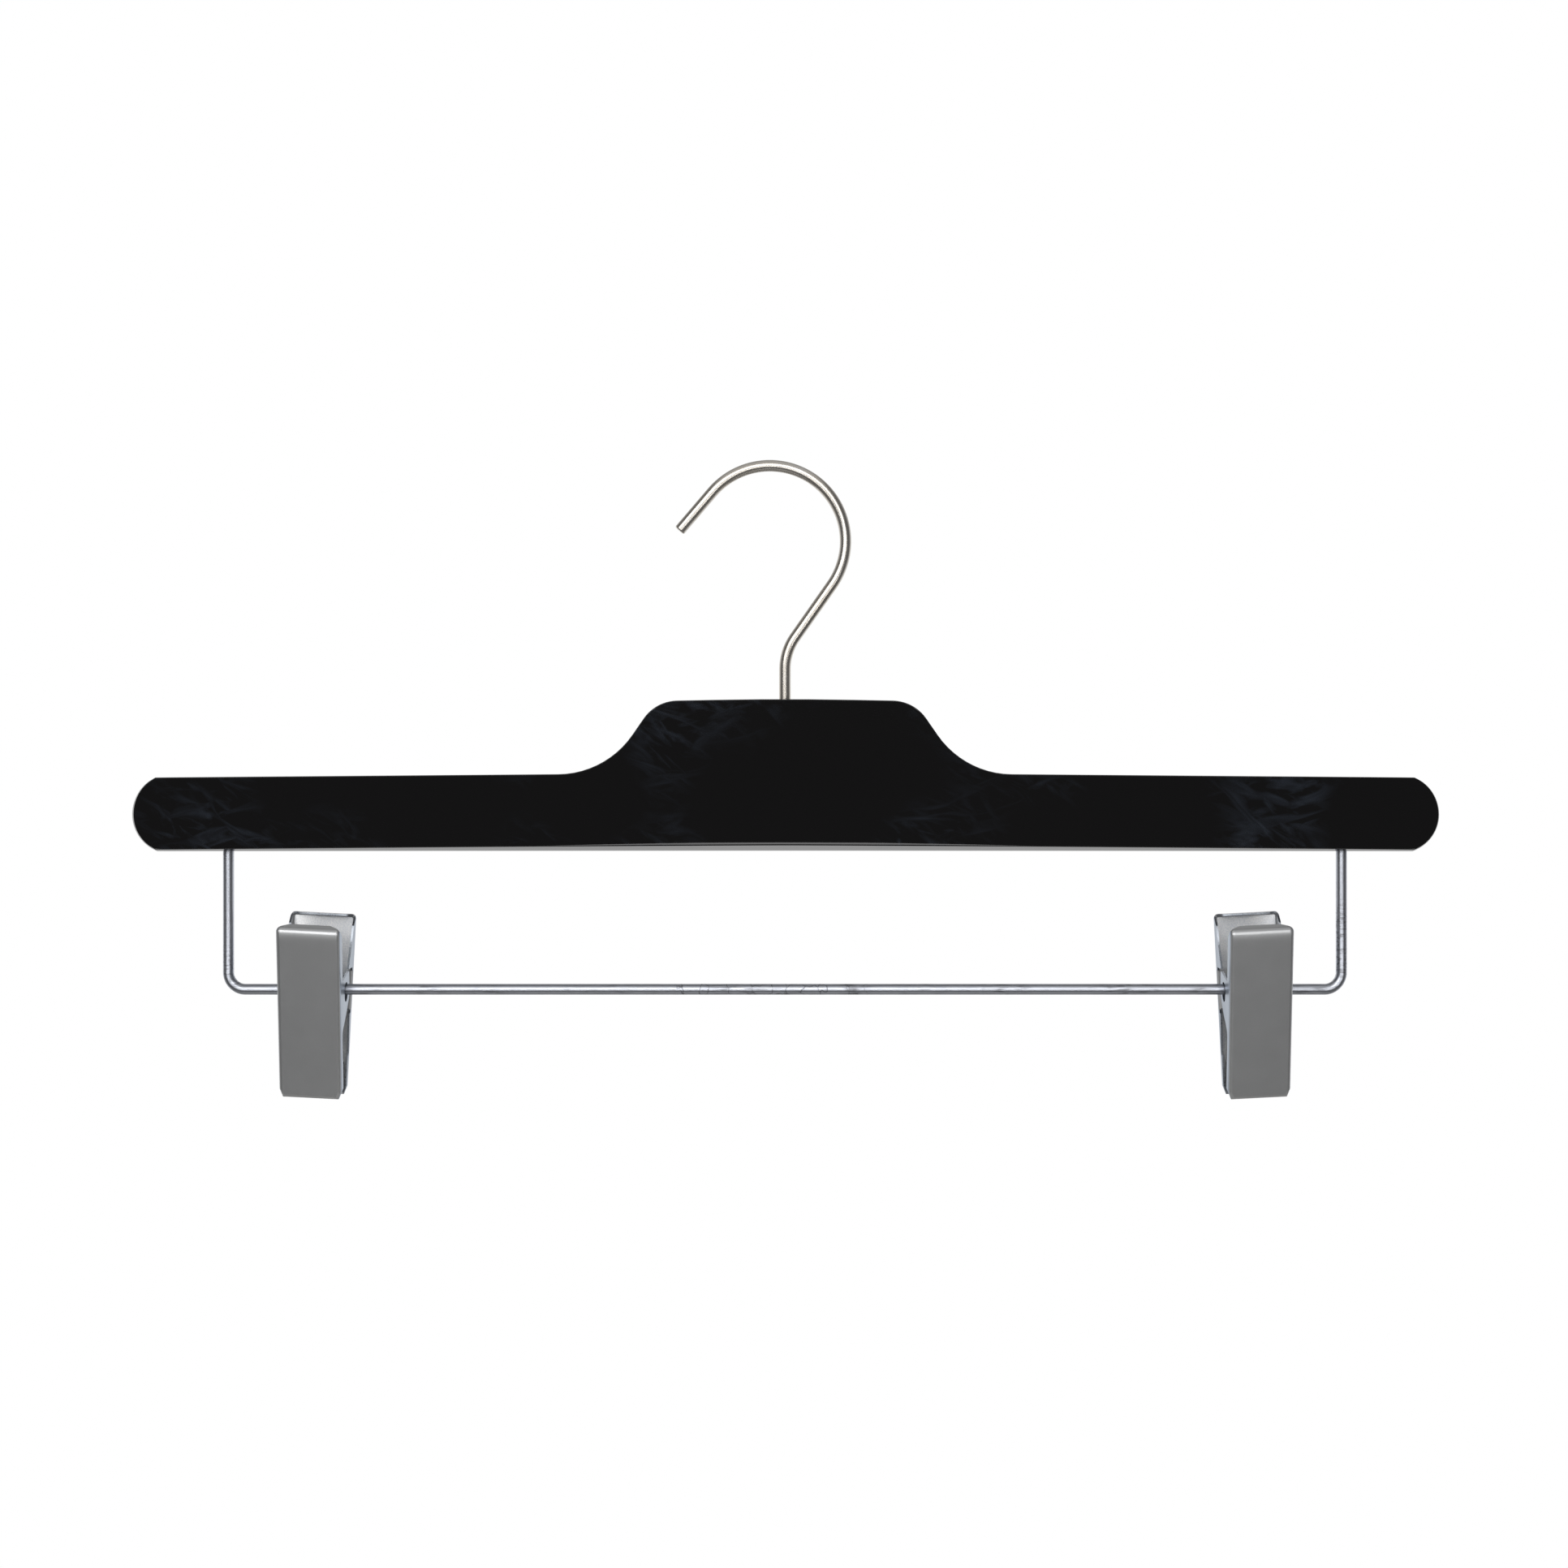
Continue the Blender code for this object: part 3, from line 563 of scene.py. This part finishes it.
def ribbed_pad_tree():
    """A wedge with ribs across its sloping face: height along Y of a grid becomes height along Z."""
    tree, given = tree_with_inputs("ribbed_pad", [
        ("Width", "NodeSocketFloat"), ("Height", "NodeSocketFloat"), ("Ribs", "NodeSocketInt"),
        ("Points", "NodeSocketInt"), ("Rib Depth", "NodeSocketFloat"), ("Slope", "NodeSocketFloat"),
        ("Face", "NodeSocketFloat"), ("Seat", "NodeSocketFloat"), ("Foot", "NodeSocketFloat"),
        ("Finish", "NodeSocketMaterial")])
    rows = add_node(tree, "ShaderNodeMath", {
        0: given["Ribs"], 1: given["Points"], 2: 1.0}, operation="MULTIPLY_ADD")
    grid = add_node(tree, "GeometryNodeMeshGrid", {
        "Size X": given["Width"], "Size Y": given["Height"], "Vertices X": 2,
        "Vertices Y": rows.outputs[0]})
    at = add_node(tree, "ShaderNodeSeparateXYZ", {
        "Vector": add_node(tree, "GeometryNodeInputPosition").outputs[0]}).outputs
    up = add_node(tree, "ShaderNodeMath", {
        0: given["Height"], 1: 0.5, 2: at["Y"]}, operation="MULTIPLY_ADD").outputs[0]
    height = add_node(tree, "ShaderNodeMath", {0: up, 1: given["Foot"]}, operation="ADD").outputs[0]
    ribs_passed = add_node(tree, "ShaderNodeMapRange", {
        "Value": up, "From Max": given["Height"], "To Max": given["Ribs"]})
    turned = add_node(tree, "ShaderNodeMath", {
        0: ribs_passed.outputs["Result"], 1: 2 * math.pi}, operation="MULTIPLY")
    wave = add_node(tree, "ShaderNodeMath", {0: turned.outputs[0]}, operation="COSINE")
    valley = add_node(tree, "ShaderNodeMapRange", {
        "Value": wave.outputs[0], "From Min": -1.0, "To Max": given["Rib Depth"]})
    sloping = add_node(tree, "ShaderNodeMath", {
        0: height, 1: given["Slope"], 2: given["Face"]}, operation="MULTIPLY_ADD")
    depth = add_node(tree, "ShaderNodeMath", {
        0: sloping.outputs[0], 1: valley.outputs["Result"]}, operation="ADD")
    facing = add_node(tree, "ShaderNodeCombineXYZ", {"X": at["X"], "Y": depth.outputs[0], "Z": height})
    ribbed = add_node(tree, "GeometryNodeSetPosition", {
        "Geometry": grid.outputs["Mesh"], "Position": facing.outputs["Vector"]})
    block = add_node(tree, "GeometryNodeExtrudeMesh", {
        "Mesh": ribbed.outputs["Geometry"], "Offset Scale": pad_first_depth,
        "Individual": False}, mode="FACES")
    now = add_node(tree, "ShaderNodeSeparateXYZ", {
        "Vector": add_node(tree, "GeometryNodeInputPosition").outputs[0]}).outputs
    seated = add_node(tree, "ShaderNodeCombineXYZ", {
        "X": now["X"], "Y": given["Seat"], "Z": now["Z"]})
    backed = add_node(tree, "GeometryNodeSetPosition", {
        "Geometry": block.outputs["Mesh"], "Selection": block.outputs["Top"],
        "Position": seated.outputs["Vector"]})
    end_tree(tree, backed.outputs["Geometry"], given["Finish"])
    return tree


def grown(obj, tree, **values):
    """Gives an object a Geometry Nodes modifier with these inputs, and makes the result its mesh."""
    modifier = obj.modifiers.new(tree.name, "NODES")
    modifier.node_group = tree
    for item in tree.interface.items_tree:
        key = item.name.replace(" ", "_").lower()
        if item.in_out == "INPUT" and key in values:
            modifier[item.identifier] = values[key]
    bpy.context.view_layer.update()
    return made_plain(obj)


def wire(name, tree, route, shares, radius, sides, material, matrix=None):
    """A wire along a route of points."""
    mesh = bpy.data.meshes.new(name)
    mesh.from_pydata([tuple(p) for p in route], [(n, n + 1) for n in range(len(route) - 1)], [])
    mesh.attributes.new("share", "FLOAT", "POINT").data.foreach_set("value", shares)
    obj = place_in_scene(name, mesh, None, matrix)
    grown(obj, tree, radius=radius, sides=sides, finish=material)
    turn_outward(obj.data)
    obj.data.shade_smooth()
    obj.data.set_sharp_from_angle(angle=wire_sharp_angle)
    return obj


def blunt_end(radius):
    """Distances from a wire's end, and the shares of its thickness there, that round its rim over."""
    rounding = min(wire_end_rounding, radius)
    angles = [math.pi / 2 * k / wire_end_steps for k in range(wire_end_steps + 1)]
    return [(rounding * (1 - math.cos(a)), 1 - rounding / radius * (1 - math.sin(a))) for a in angles]


def with_blunt_ends(route, radius):
    """A route and its shares, with both ends rounded over."""
    route = [Vector(p) for p in route]
    shares = [1.0] * len(route)
    for _ in range(2):
        way = (route[1] - route[0]).normalized()
        tip = [(route[0] + way * run, share) for run, share in blunt_end(radius)]
        route = [p for p, _ in tip] + route[1:]
        shares = [s for _, s in tip] + shares[1:]
        route.reverse()
        shares.reverse()
    return route, shares


# Pieces

def beam_outline():
    """The front view of the wood about the swivel axis, with Z measured from the wood's underside."""
    half_height = arm_end_height / 2
    corner_height = neck_height - neck_crown_drop
    end_radius = (half_height**2 + beam_end_bulge**2) / (2 * beam_end_bulge)
    end_centre = beam_length / 2 - end_radius
    spread = math.atan2(half_height, end_radius - beam_end_bulge)
    right_end = arc((end_centre, half_height), end_radius, -spread, spread, beam_arc_step)
    neck = [
        (end_centre, arm_end_height, 0),
        (neck_foot_half_width, arm_root_height, shoulder_radius),
        (neck_top_half_width, corner_height, neck_corner_radius),
        (0, neck_height, neck_crown_radius),
        (-neck_top_half_width, corner_height, neck_corner_radius),
        (-neck_foot_half_width, arm_root_height, shoulder_radius),
        (-end_centre, arm_end_height, 0),
    ]
    left_end = [Vector((-p.x, p.y)) for p in reversed(right_end)]
    return right_end + rounded(neck, beam_arc_step)[1:-1] + left_end


def divided(outline, longest):
    """A closed outline with points added along its long sides."""
    points = []
    for n, here in enumerate(outline):
        on = outline[(n + 1) % len(outline)]
        parts = max(1, math.ceil((on - here).length / longest))
        points += [here.lerp(on, k / parts) for k in range(parts)]
    return points


def outward_ways(outline):
    """The way out of a counter-clockwise outline at each of its points."""
    ways = []
    for n, here in enumerate(outline):
        back = (here - outline[n - 1]).normalized()
        on = (outline[(n + 1) % len(outline)] - here).normalized()
        along = back + on
        ways.append(Vector((along.y, -along.x)).normalized())
    return ways


def easing(point, way):
    """How far the front edge is eased off: little above, more at the ends, and most below the neck."""
    off_middle = abs(point.x) / (beam_length / 2)
    bottom = ease_bottom_middle - ease_bottom_fade * off_middle**ease_fade_power
    if way.y < 0:
        return bottom * way.y**2 + (ease_left if way.x < 0 else ease_right) * way.x**2
    side = (ease_left if way.x < 0 else ease_right) if off_middle > beam_end_share else ease_top
    return ease_top * way.y**2 + side * way.x**2


def face_rolls_over(point, way):
    """How wide the front face rolls over before its edge: widely below the neck, and hardly anywhere else."""
    near_middle = max(0.0, min(1.0, face_roll_end_share - abs(point.x) / face_roll_half_width))
    return face_edge + (face_roll - face_edge) * near_middle * max(0.0, -way.y) ** 2


def edge_section(point, way):
    """The beam's edge as (inset, depth from the front face) points: eased in front and rounded behind."""
    ease, roll = easing(point, way), face_rolls_over(point, way)
    angle = ease_slope + (ease_end_slope - ease_slope) * way.x**2
    slope = Vector((math.cos(angle), -math.sin(angle)))
    face_corner = Vector((ease, 0))
    side_corner = Vector((0, ease * math.tan(angle)))
    turn = min(ease_turn, (side_corner - face_corner).length / 2)
    points = []
    for corner, before, after in (
        (face_corner, face_corner + Vector((roll, 0)), face_corner - slope * face_edge),
        (side_corner, side_corner + slope * turn, side_corner + Vector((0, turn))),
    ):
        for k in range(beam_edge_steps + 1):
            share = k / beam_edge_steps
            points.append(before.lerp(corner, share).lerp(corner.lerp(after, share), share))
    for k in range(beam_edge_steps + 1):
        angle = math.pi / 2 * k / beam_edge_steps
        inset = beam_back_radius * (1 - math.cos(angle))
        points.append(Vector((inset, beam_thickness - beam_back_radius * (1 - math.sin(angle)))))
    return points


def make_beam(lacquer):
    """The lacquered wood, with the bore for the bush and the bar's two holes."""
    outline = divided(beam_outline(), beam_station)
    ways = outward_ways(outline)
    bm = bmesh.new()
    columns = []
    for point, way in zip(outline, ways):
        column = []
        for inset, depth in edge_section(point, way):
            at = point - way * inset
            column.append(bm.verts.new((swivel_x + at.x, depth - beam_thickness / 2, wood_base + at.y)))
        columns.append(column)
    for n, column in enumerate(columns):
        following = columns[(n + 1) % len(columns)]
        for k in range(len(column) - 1):
            bm.faces.new((column[k], following[k], following[k + 1], column[k + 1]))
    faces = [bm.faces.new([c[0] for c in columns]), bm.faces.new([c[-1] for c in reversed(columns)])]
    bm.normal_update()
    bmesh.ops.triangulate(bm, faces=faces)
    beam = place_in_scene("lacquered_beam", from_bmesh("lacquered_beam", bm), lacquer)
    bore_floor = wood_top - hook_shank_depth - bore_relief
    cut(beam, round_cutter(bush_radius + seat_gap, bore_floor, wood_top + cut_overrun, swivel_x))
    for side in (-1, 1):
        roof = wood_base + bar_seat_depth + seat_gap
        x = swivel_x + side * bar_half_span
        cut(beam, round_cutter(bar_radius + seat_gap, wood_base - cut_overrun, roof, x))
    settle_normals(beam)
    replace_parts(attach(beam, "beam"), "beam")


def hook_route():
    """The hook's wire from its tip to where its shank enters the wood."""
    over = arc((0, crown_z), hook_crown_radius, math.pi - hook_tip_lean, -hook_slant)
    tip = over[0] + Vector((-math.sin(hook_tip_lean), -math.cos(hook_tip_lean))) * hook_tip_length
    bend = rounded([(*over[-1], 0), (swivel_x, bend_z, hook_bend_radius), (swivel_x, wood_top, 0)])
    return [tip] + over + bend[1:]


def make_hook(tree, nickel):
    """One wire: tip, crown, slant, bend and a shank with a groove near its end."""
    foot = wood_top - hook_shank_depth
    route = [(p.x, 0, p.y) for p in hook_route()] + [(swivel_x, 0, foot)]
    route, shares = with_blunt_ends(route, wire_radius)
    low, high = foot + groove_button, foot + groove_button + groove_height
    slope = groove_depth / 4
    thin = groove_radius / wire_radius
    groove = [(high + slope, 1.0), (high, thin), (low, thin), (low - slope, 1.0)]
    at = next(n for n in range(len(route) - 1) if route[n].z > high + slope > route[n + 1].z)
    route[at + 1 : at + 1] = [Vector((swivel_x, 0, z)) for z, _ in groove]
    shares[at + 1 : at + 1] = [share for _, share in groove]
    hook = wire("wire_hook", tree, route, shares, wire_radius, wire_sides, nickel)
    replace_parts(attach(hook, "hook"), "hook")


def make_bush(brass):
    """The split sleeve round the shank, with the rib that sits in its groove."""
    top, foot = wood_top - bush_recess, wood_top - hook_shank_depth
    rib_low = foot + groove_button + seat_gap
    rib_high = rib_low + groove_height - 2 * seat_gap
    rib_radius = groove_radius + seat_gap
    lip = bush_wall / 4
    profile = [
        (bush_radius, foot),
        (bush_radius, top - lip),
        (bush_radius - lip, top),
        (bush_bore_radius + lip, top),
        (bush_bore_radius, top - lip),
        (bush_bore_radius, rib_high),
        (rib_radius, rib_high),
        (rib_radius, rib_low),
        (bush_bore_radius, rib_low),
        (bush_bore_radius, foot),
    ]
    gap = math.asin(bush_slit / 2 / bush_bore_radius)
    bm = bmesh.new()
    rings = []
    for k in range(turning_steps + 1):
        angle = math.pi / 2 + gap + (2 * math.pi - 2 * gap) * k / turning_steps
        at = Vector((math.cos(angle), math.sin(angle)))
        rings.append([bm.verts.new((swivel_x + r * at.x, r * at.y, z)) for r, z in profile])
    for ring, following in zip(rings, rings[1:]):
        for n in range(len(profile)):
            m = (n + 1) % len(profile)
            bm.faces.new((ring[n], following[n], following[m], ring[m]))
    bm.faces.new(rings[0])
    bm.faces.new(list(reversed(rings[-1])))
    bush = settle_normals(place_in_scene("split_bush", from_bmesh("split_bush", bm), brass))
    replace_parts(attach(bush, "beam"), "hook_bush")


def make_bar(tree, zinc):
    """The wire under the beam, bent up at both ends into the wood."""
    top = wood_base + bar_seat_depth
    left, right = swivel_x - bar_half_span, swivel_x + bar_half_span
    corners = [
        (left, top, 0),
        (left, bar_z, bar_bend_radius),
        (right, bar_z, bar_bend_radius),
        (right, top, 0),
    ]
    route, shares = with_blunt_ends([(p.x, 0, p.y) for p in rounded(corners)], bar_radius)
    bar = wire("trouser_bar", tree, route, shares, bar_radius, wire_sides, zinc)
    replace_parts(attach(bar, "beam"), "clip_bar")


def clip_place(side):
    """Where a clip's own frame is: its X along the bar, leaning a little about Y."""
    sign = -1 if side == "left" else 1
    at = Matrix.Translation((swivel_x + sign * clip_station, 0, bar_z - clip_drop))
    return at @ Matrix.Rotation(-sign * clip_lean, 4, "Y")


def opened():
    """From the back jaw's frame to the front jaw's."""
    return Matrix.Rotation(2 * half_angle, 4, "X") @ Matrix.Rotation(math.pi, 4, "Z")


def tell_skins_apart(bm, place):
    """Names the finish of each face of a shell, by what is behind it and by the way it faces."""
    skins = {}
    solid = BVHTree.FromBMesh(bm)
    into_clip = place.inverted()
    for face in bm.faces:
        centre = face.calc_center_median()
        behind = solid.ray_cast(centre - face.normal * skin_step, -face.normal)[3]
        at, way = into_clip @ centre, into_clip.to_3x3() @ face.normal
        height = max(shell_core - jaw_length, min(handle_length - shell_core, at.z))
        core = Vector((0, clip_face - shell_core, height))
        if behind is None or behind > skin_depth:
            skins[face] = "edge"
        # Faces that face into the clip take the inside finish, whose brighter grey is partly a painted
        # highlight.
        elif way.dot(at - core) < 0:
            skins[face] = "inside"
        else:
            # Faces turned sideways take the flange finish, whose bluish darker grey is a painted reflection.
            skins[face] = "flange" if abs(way.x) > flange_turn_share else "outside"
    return skins


def roll_handle_over(bm, place):
    """Lets the end of a handle roll over softly before its flange, as the press leaves it."""
    bmesh.ops.transform(bm, matrix=place.inverted(), verts=bm.verts)
    for k in range(handle_roll_steps):
        height = handle_length - handle_roll_start - handle_roll_height * k / handle_roll_steps
        bmesh.ops.bisect_plane(
            bm, geom=[*bm.verts, *bm.edges, *bm.faces], dist=split_tolerance,
            plane_co=(0, 0, height), plane_no=(0, 0, 1))
    for vert in bm.verts:
        below = handle_length - vert.co.z
        drop = handle_roll_drop * math.exp(-below / handle_roll_fade)
        vert.co.y -= drop * max(0.0, 1 - (clip_face - vert.co.y) / handle_roll_depth)
    bmesh.ops.transform(bm, matrix=place, verts=bm.verts)


def make_shell(side, face, finishes):
    """A pressed shell, its skins and its cut edges each with their finish."""
    node = f"{side}_{face}_shell"
    place = clip_place(side) @ (opened() if face == "front" else Matrix.Identity(4))
    bm = bmesh.new()
    bm.from_mesh(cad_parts[node].data)
    bmesh.ops.remove_doubles(bm, verts=bm.verts, dist=weld_distance)
    bm.normal_update()
    for skinned, skin in tell_skins_apart(bm, place).items():
        skinned.material_index = list(finishes).index(skin)
    bmesh.ops.dissolve_limit(
        bm, angle_limit=flat_angle, verts=bm.verts, edges=bm.edges, delimit={"MATERIAL"})
    if face == "front":
        roll_handle_over(bm, place)
    mesh = from_bmesh(node, bm)
    for finish in finishes.values():
        mesh.materials.append(finish)
    shell = settle_normals(place_in_scene(f"{side}_{face}_pressed_shell", mesh, None))
    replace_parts(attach(shell, f"{side}_{face}_jaw"), node)


def make_pad(side, face, tree, rubber):
    """A ribbed grip pad in the end of a jaw."""
    node = f"{side}_{face}_pad"
    width = front_width if face == "front" else back_width
    place = clip_place(side) @ (opened() if face == "front" else Matrix.Identity(4))
    pad = place_in_scene(f"{side}_{face}_ribbed_pad", bpy.data.meshes.new(node), None)
    grown(
        pad, tree,
        width=width - 2 * (jaw_corner_width + clip_sheet),
        height=pad_height,
        ribs=round(pad_height / rib_pitch),
        points=rib_points,
        rib_depth=rib_depth / math.cos(half_angle),
        slope=-math.tan(half_angle),
        face=pad_meeting_gap / math.cos(half_angle),
        seat=clip_face - clip_sheet - seat_gap,
        foot=clip_sheet + seat_gap - jaw_length,
        finish=rubber,
    )
    turn_outward(pad.data, weld=True)
    pad.data.transform(place)
    pad.data.shade_smooth()
    pad.data.set_sharp_from_angle(angle=pad_sharp_angle)
    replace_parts(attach(pad, f"{side}_{face}_jaw"), node)


def leg_points():
    """A spring's leg seen along X, from where it leaves the coil to the foot that lies along the handle."""
    plate = clip_face - clip_sheet - seat_gap - spring_radius
    knee = Vector((plate, handle_length * spring_foot_share))
    leaves = math.atan2(knee.y, knee.x) - math.acos(coil_radius / knee.length)
    start = Vector((math.cos(leaves), math.sin(leaves))) * coil_radius
    foot = knee + Vector((0, spring_foot_length))
    return leaves, rounded([(*start, 0), (*knee, spring_knee_radius), (*foot, 0)], spring_arc_step)


def spring_route():
    """Down the front handle, round the bar and up the back handle, in the clip's own frame."""
    leaves, leg = leg_points()
    tilt = Matrix.Rotation(2 * half_angle, 2)
    front_leg = [tilt @ Vector((-p.x, p.y)) for p in leg]
    first = math.pi - leaves + 2 * half_angle
    last = leaves + 2 * math.pi * spring_turns
    rise = (spring_wire + spring_turn_gap) * (last - first) / (2 * math.pi)
    steps = round(spring_points * (last - first) / (2 * math.pi))
    coil = []
    for k in range(1, steps):
        angle = first + (last - first) * k / steps
        x = rise * (k / steps - 1 / 2)
        coil.append((x, coil_radius * math.cos(angle), coil_radius * math.sin(angle)))
    down = [(-rise / 2, *p) for p in reversed(front_leg)]
    up = [(rise / 2, *p) for p in leg]
    return down + coil + up, rise


def make_spring(side, tree, steel):
    """A torsion spring whose legs follow the two handles."""
    place = clip_place(side)
    points, rise = spring_route()
    route, shares = with_blunt_ends(points, spring_radius)
    spring = wire(f"{side}_torsion_spring", tree, route, shares, spring_radius, spring_sides, steel, place)
    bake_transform(spring)
    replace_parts(spring, f"{side}_spring")


# Studio

camera_place = (0.00394, -0.620, -0.0866)
camera_lens = 51.36
sensor_width = 36.0
floor_place = (0.0, 0.25, -0.62)
floor_radius = 0.60
camera_near = 0.01
paper_glow = 0.55
room_turn = (-0.20, 0.75)  # from the dim room to the white, along the direction's Y
room_dim = 0.13  # how bright the dim room is in what shines
room_plain = 0.15  # and how bright it is on what is matte
room_climb = (0.10, 0.60)  # from all the white to what is left of it high up, along the direction's Z
room_high_share = 0.40
lamps = {  # each one's place, what it points at, its width and height, and the radiance of its surface
    "key_lamp": ((-0.20, -1.13, 0.35), (0.0, 0.0, -0.09), (1.30, 0.66), 2.6),
    "top_lamp": ((0.0, -0.37, 0.78), (0.0, 0.0, -0.14), (1.30, 1.14), 0.38),
    "low_lamp": ((0.0, -1.05, -0.28), (0.0, 0.0, -0.10), (1.30, 0.16), 3.3),
}


def make_camera():
    camera = bpy.data.cameras.new("camera")
    camera.lens = camera_lens
    camera.sensor_width = sensor_width
    camera.clip_start = camera_near
    obj = bpy.data.objects.new("camera", camera)
    obj.location = camera_place
    obj.rotation_euler = (math.pi / 2, 0, 0)
    bpy.context.scene.collection.objects.link(obj)
    bpy.context.scene.camera = obj


def add_lamp(name, place, aim, size, radiance):
    """A soft panel lamp. Its power is worked out from how bright its surface is."""
    lamp = bpy.data.lights.new(name, "AREA")
    lamp.shape = "RECTANGLE"
    lamp.size, lamp.size_y = size
    lamp.energy = radiance * size[0] * size[1] * math.pi
    obj = bpy.data.objects.new(name, lamp)
    obj.location = place
    obj.rotation_euler = (Vector(aim) - Vector(place)).to_track_quat("-Z", "Y").to_euler()
    obj.visible_camera = False
    bpy.context.scene.collection.objects.link(obj)


def make_world():
    """White to the camera. What shines shows that white behind the hanger, and a dim room in front of it."""
    world = bpy.data.worlds.new("studio")
    bpy.context.scene.world = world
    world.use_nodes = True
    tree = world.node_tree
    tree.nodes.clear()
    way = add_node(tree, "ShaderNodeTexCoord").outputs["Generated"]
    parts = add_node(tree, "ShaderNodeSeparateXYZ", {"Vector": way}).outputs
    path = add_node(tree, "ShaderNodeLightPath").outputs
    behind = add_node(tree, "ShaderNodeMapRange", {
        "Value": parts["Y"], "From Min": room_turn[0], "From Max": room_turn[1],
    }, interpolation_type="SMOOTHSTEP")
    low = add_node(tree, "ShaderNodeMapRange", {
        "Value": parts["Z"], "From Min": room_climb[0], "From Max": room_climb[1],
        "To Min": 1.0, "To Max": room_high_share})
    lit = add_node(tree, "ShaderNodeMath", {
        0: behind.outputs["Result"], 1: low.outputs["Result"]}, operation="MULTIPLY")
    mirrored = add_node(tree, "ShaderNodeMath", {
        0: path["Is Glossy Ray"], 1: lit.outputs[0]}, operation="MULTIPLY")
    seen = add_node(tree, "ShaderNodeMath", {
        0: path["Is Camera Ray"], 1: mirrored.outputs[0]}, operation="MAXIMUM")
    room = add_node(tree, "ShaderNodeMapRange", {
        "Value": path["Is Diffuse Ray"], "To Min": room_dim, "To Max": room_plain})
    dim = add_node(tree, "ShaderNodeBackground", {
        "Color": linear("#ffffff"), "Strength": room.outputs["Result"]})
    white = add_node(tree, "ShaderNodeBackground", {"Color": linear("#ffffff"), "Strength": 1.0})
    both = add_node(tree, "ShaderNodeMixShader", {
        "Fac": seen.outputs[0], 1: dim.outputs[0], 2: white.outputs[0]})
    add_node(tree, "ShaderNodeOutputWorld", {"Surface": both.outputs[0]})


def make_floor():
    """A round pale floor, below what the camera shows, which fades into the white around it."""
    # Matte white backdrop paper: even and without gloss, with a soft shadow on it.
    paper = bpy.data.materials.new("matte_backdrop_paper")
    paper.use_nodes = True
    tree = paper.node_tree
    tree.nodes.clear()
    place = add_node(tree, "ShaderNodeTexCoord").outputs["Object"]
    fibres = add_node(tree, "ShaderNodeTexNoise", {
        "Vector": place, "Scale": per_metre(0.004), "Detail": 2.0})
    tint = add_node(tree, "ShaderNodeMix", {
        mix_share: fibres.outputs["Fac"], mix_first: linear("#e9e8e6"), mix_last: linear("#f2f1ef"),
    }, data_type="RGBA")
    matte = add_node(tree, "ShaderNodeBsdfDiffuse", {"Color": tint.outputs[mix_result]})
    path = add_node(tree, "ShaderNodeLightPath").outputs
    shown = add_node(tree, "ShaderNodeMath", {
        0: path["Is Camera Ray"], 1: paper_glow}, operation="MULTIPLY")
    glow = add_node(tree, "ShaderNodeEmission", {
        "Color": linear("#ffffff"), "Strength": shown.outputs[0]})
    both = add_node(tree, "ShaderNodeAddShader", {0: matte.outputs[0], 1: glow.outputs[0]})
    add_node(tree, "ShaderNodeOutputMaterial", {"Surface": both.outputs[0]})
    bm = bmesh.new()
    bmesh.ops.create_circle(bm, cap_ends=True, segments=turning_steps, radius=floor_radius)
    floor = place_in_scene("floor", from_bmesh("floor", bm), paper, Matrix.Translation(floor_place))


def make_studio():
    make_camera()
    make_world()
    make_floor()
    for name, (place, aim, size, radiance) in lamps.items():
        add_lamp(name, place, aim, size, radiance)
    bpy.context.scene.view_settings.view_transform = "Standard"


def make_hanger():
    lacquer, nickel, zinc = black_lacquer(), satin_nickel(), zinc_wire()
    shell, steel, rubber, brass = shell_finishes(), spring_steel(), grip_rubber(), turned_brass()
    wires, pads = wire_tree(), ribbed_pad_tree()
    make_beam(lacquer)
    make_hook(wires, nickel)
    make_bush(brass)
    make_bar(wires, zinc)
    for side in ("left", "right"):
        for face in ("front", "back"):
            make_shell(side, face, shell)
            make_pad(side, face, pads, rubber)
        make_spring(side, wires, steel)


make_studio()
make_hanger()
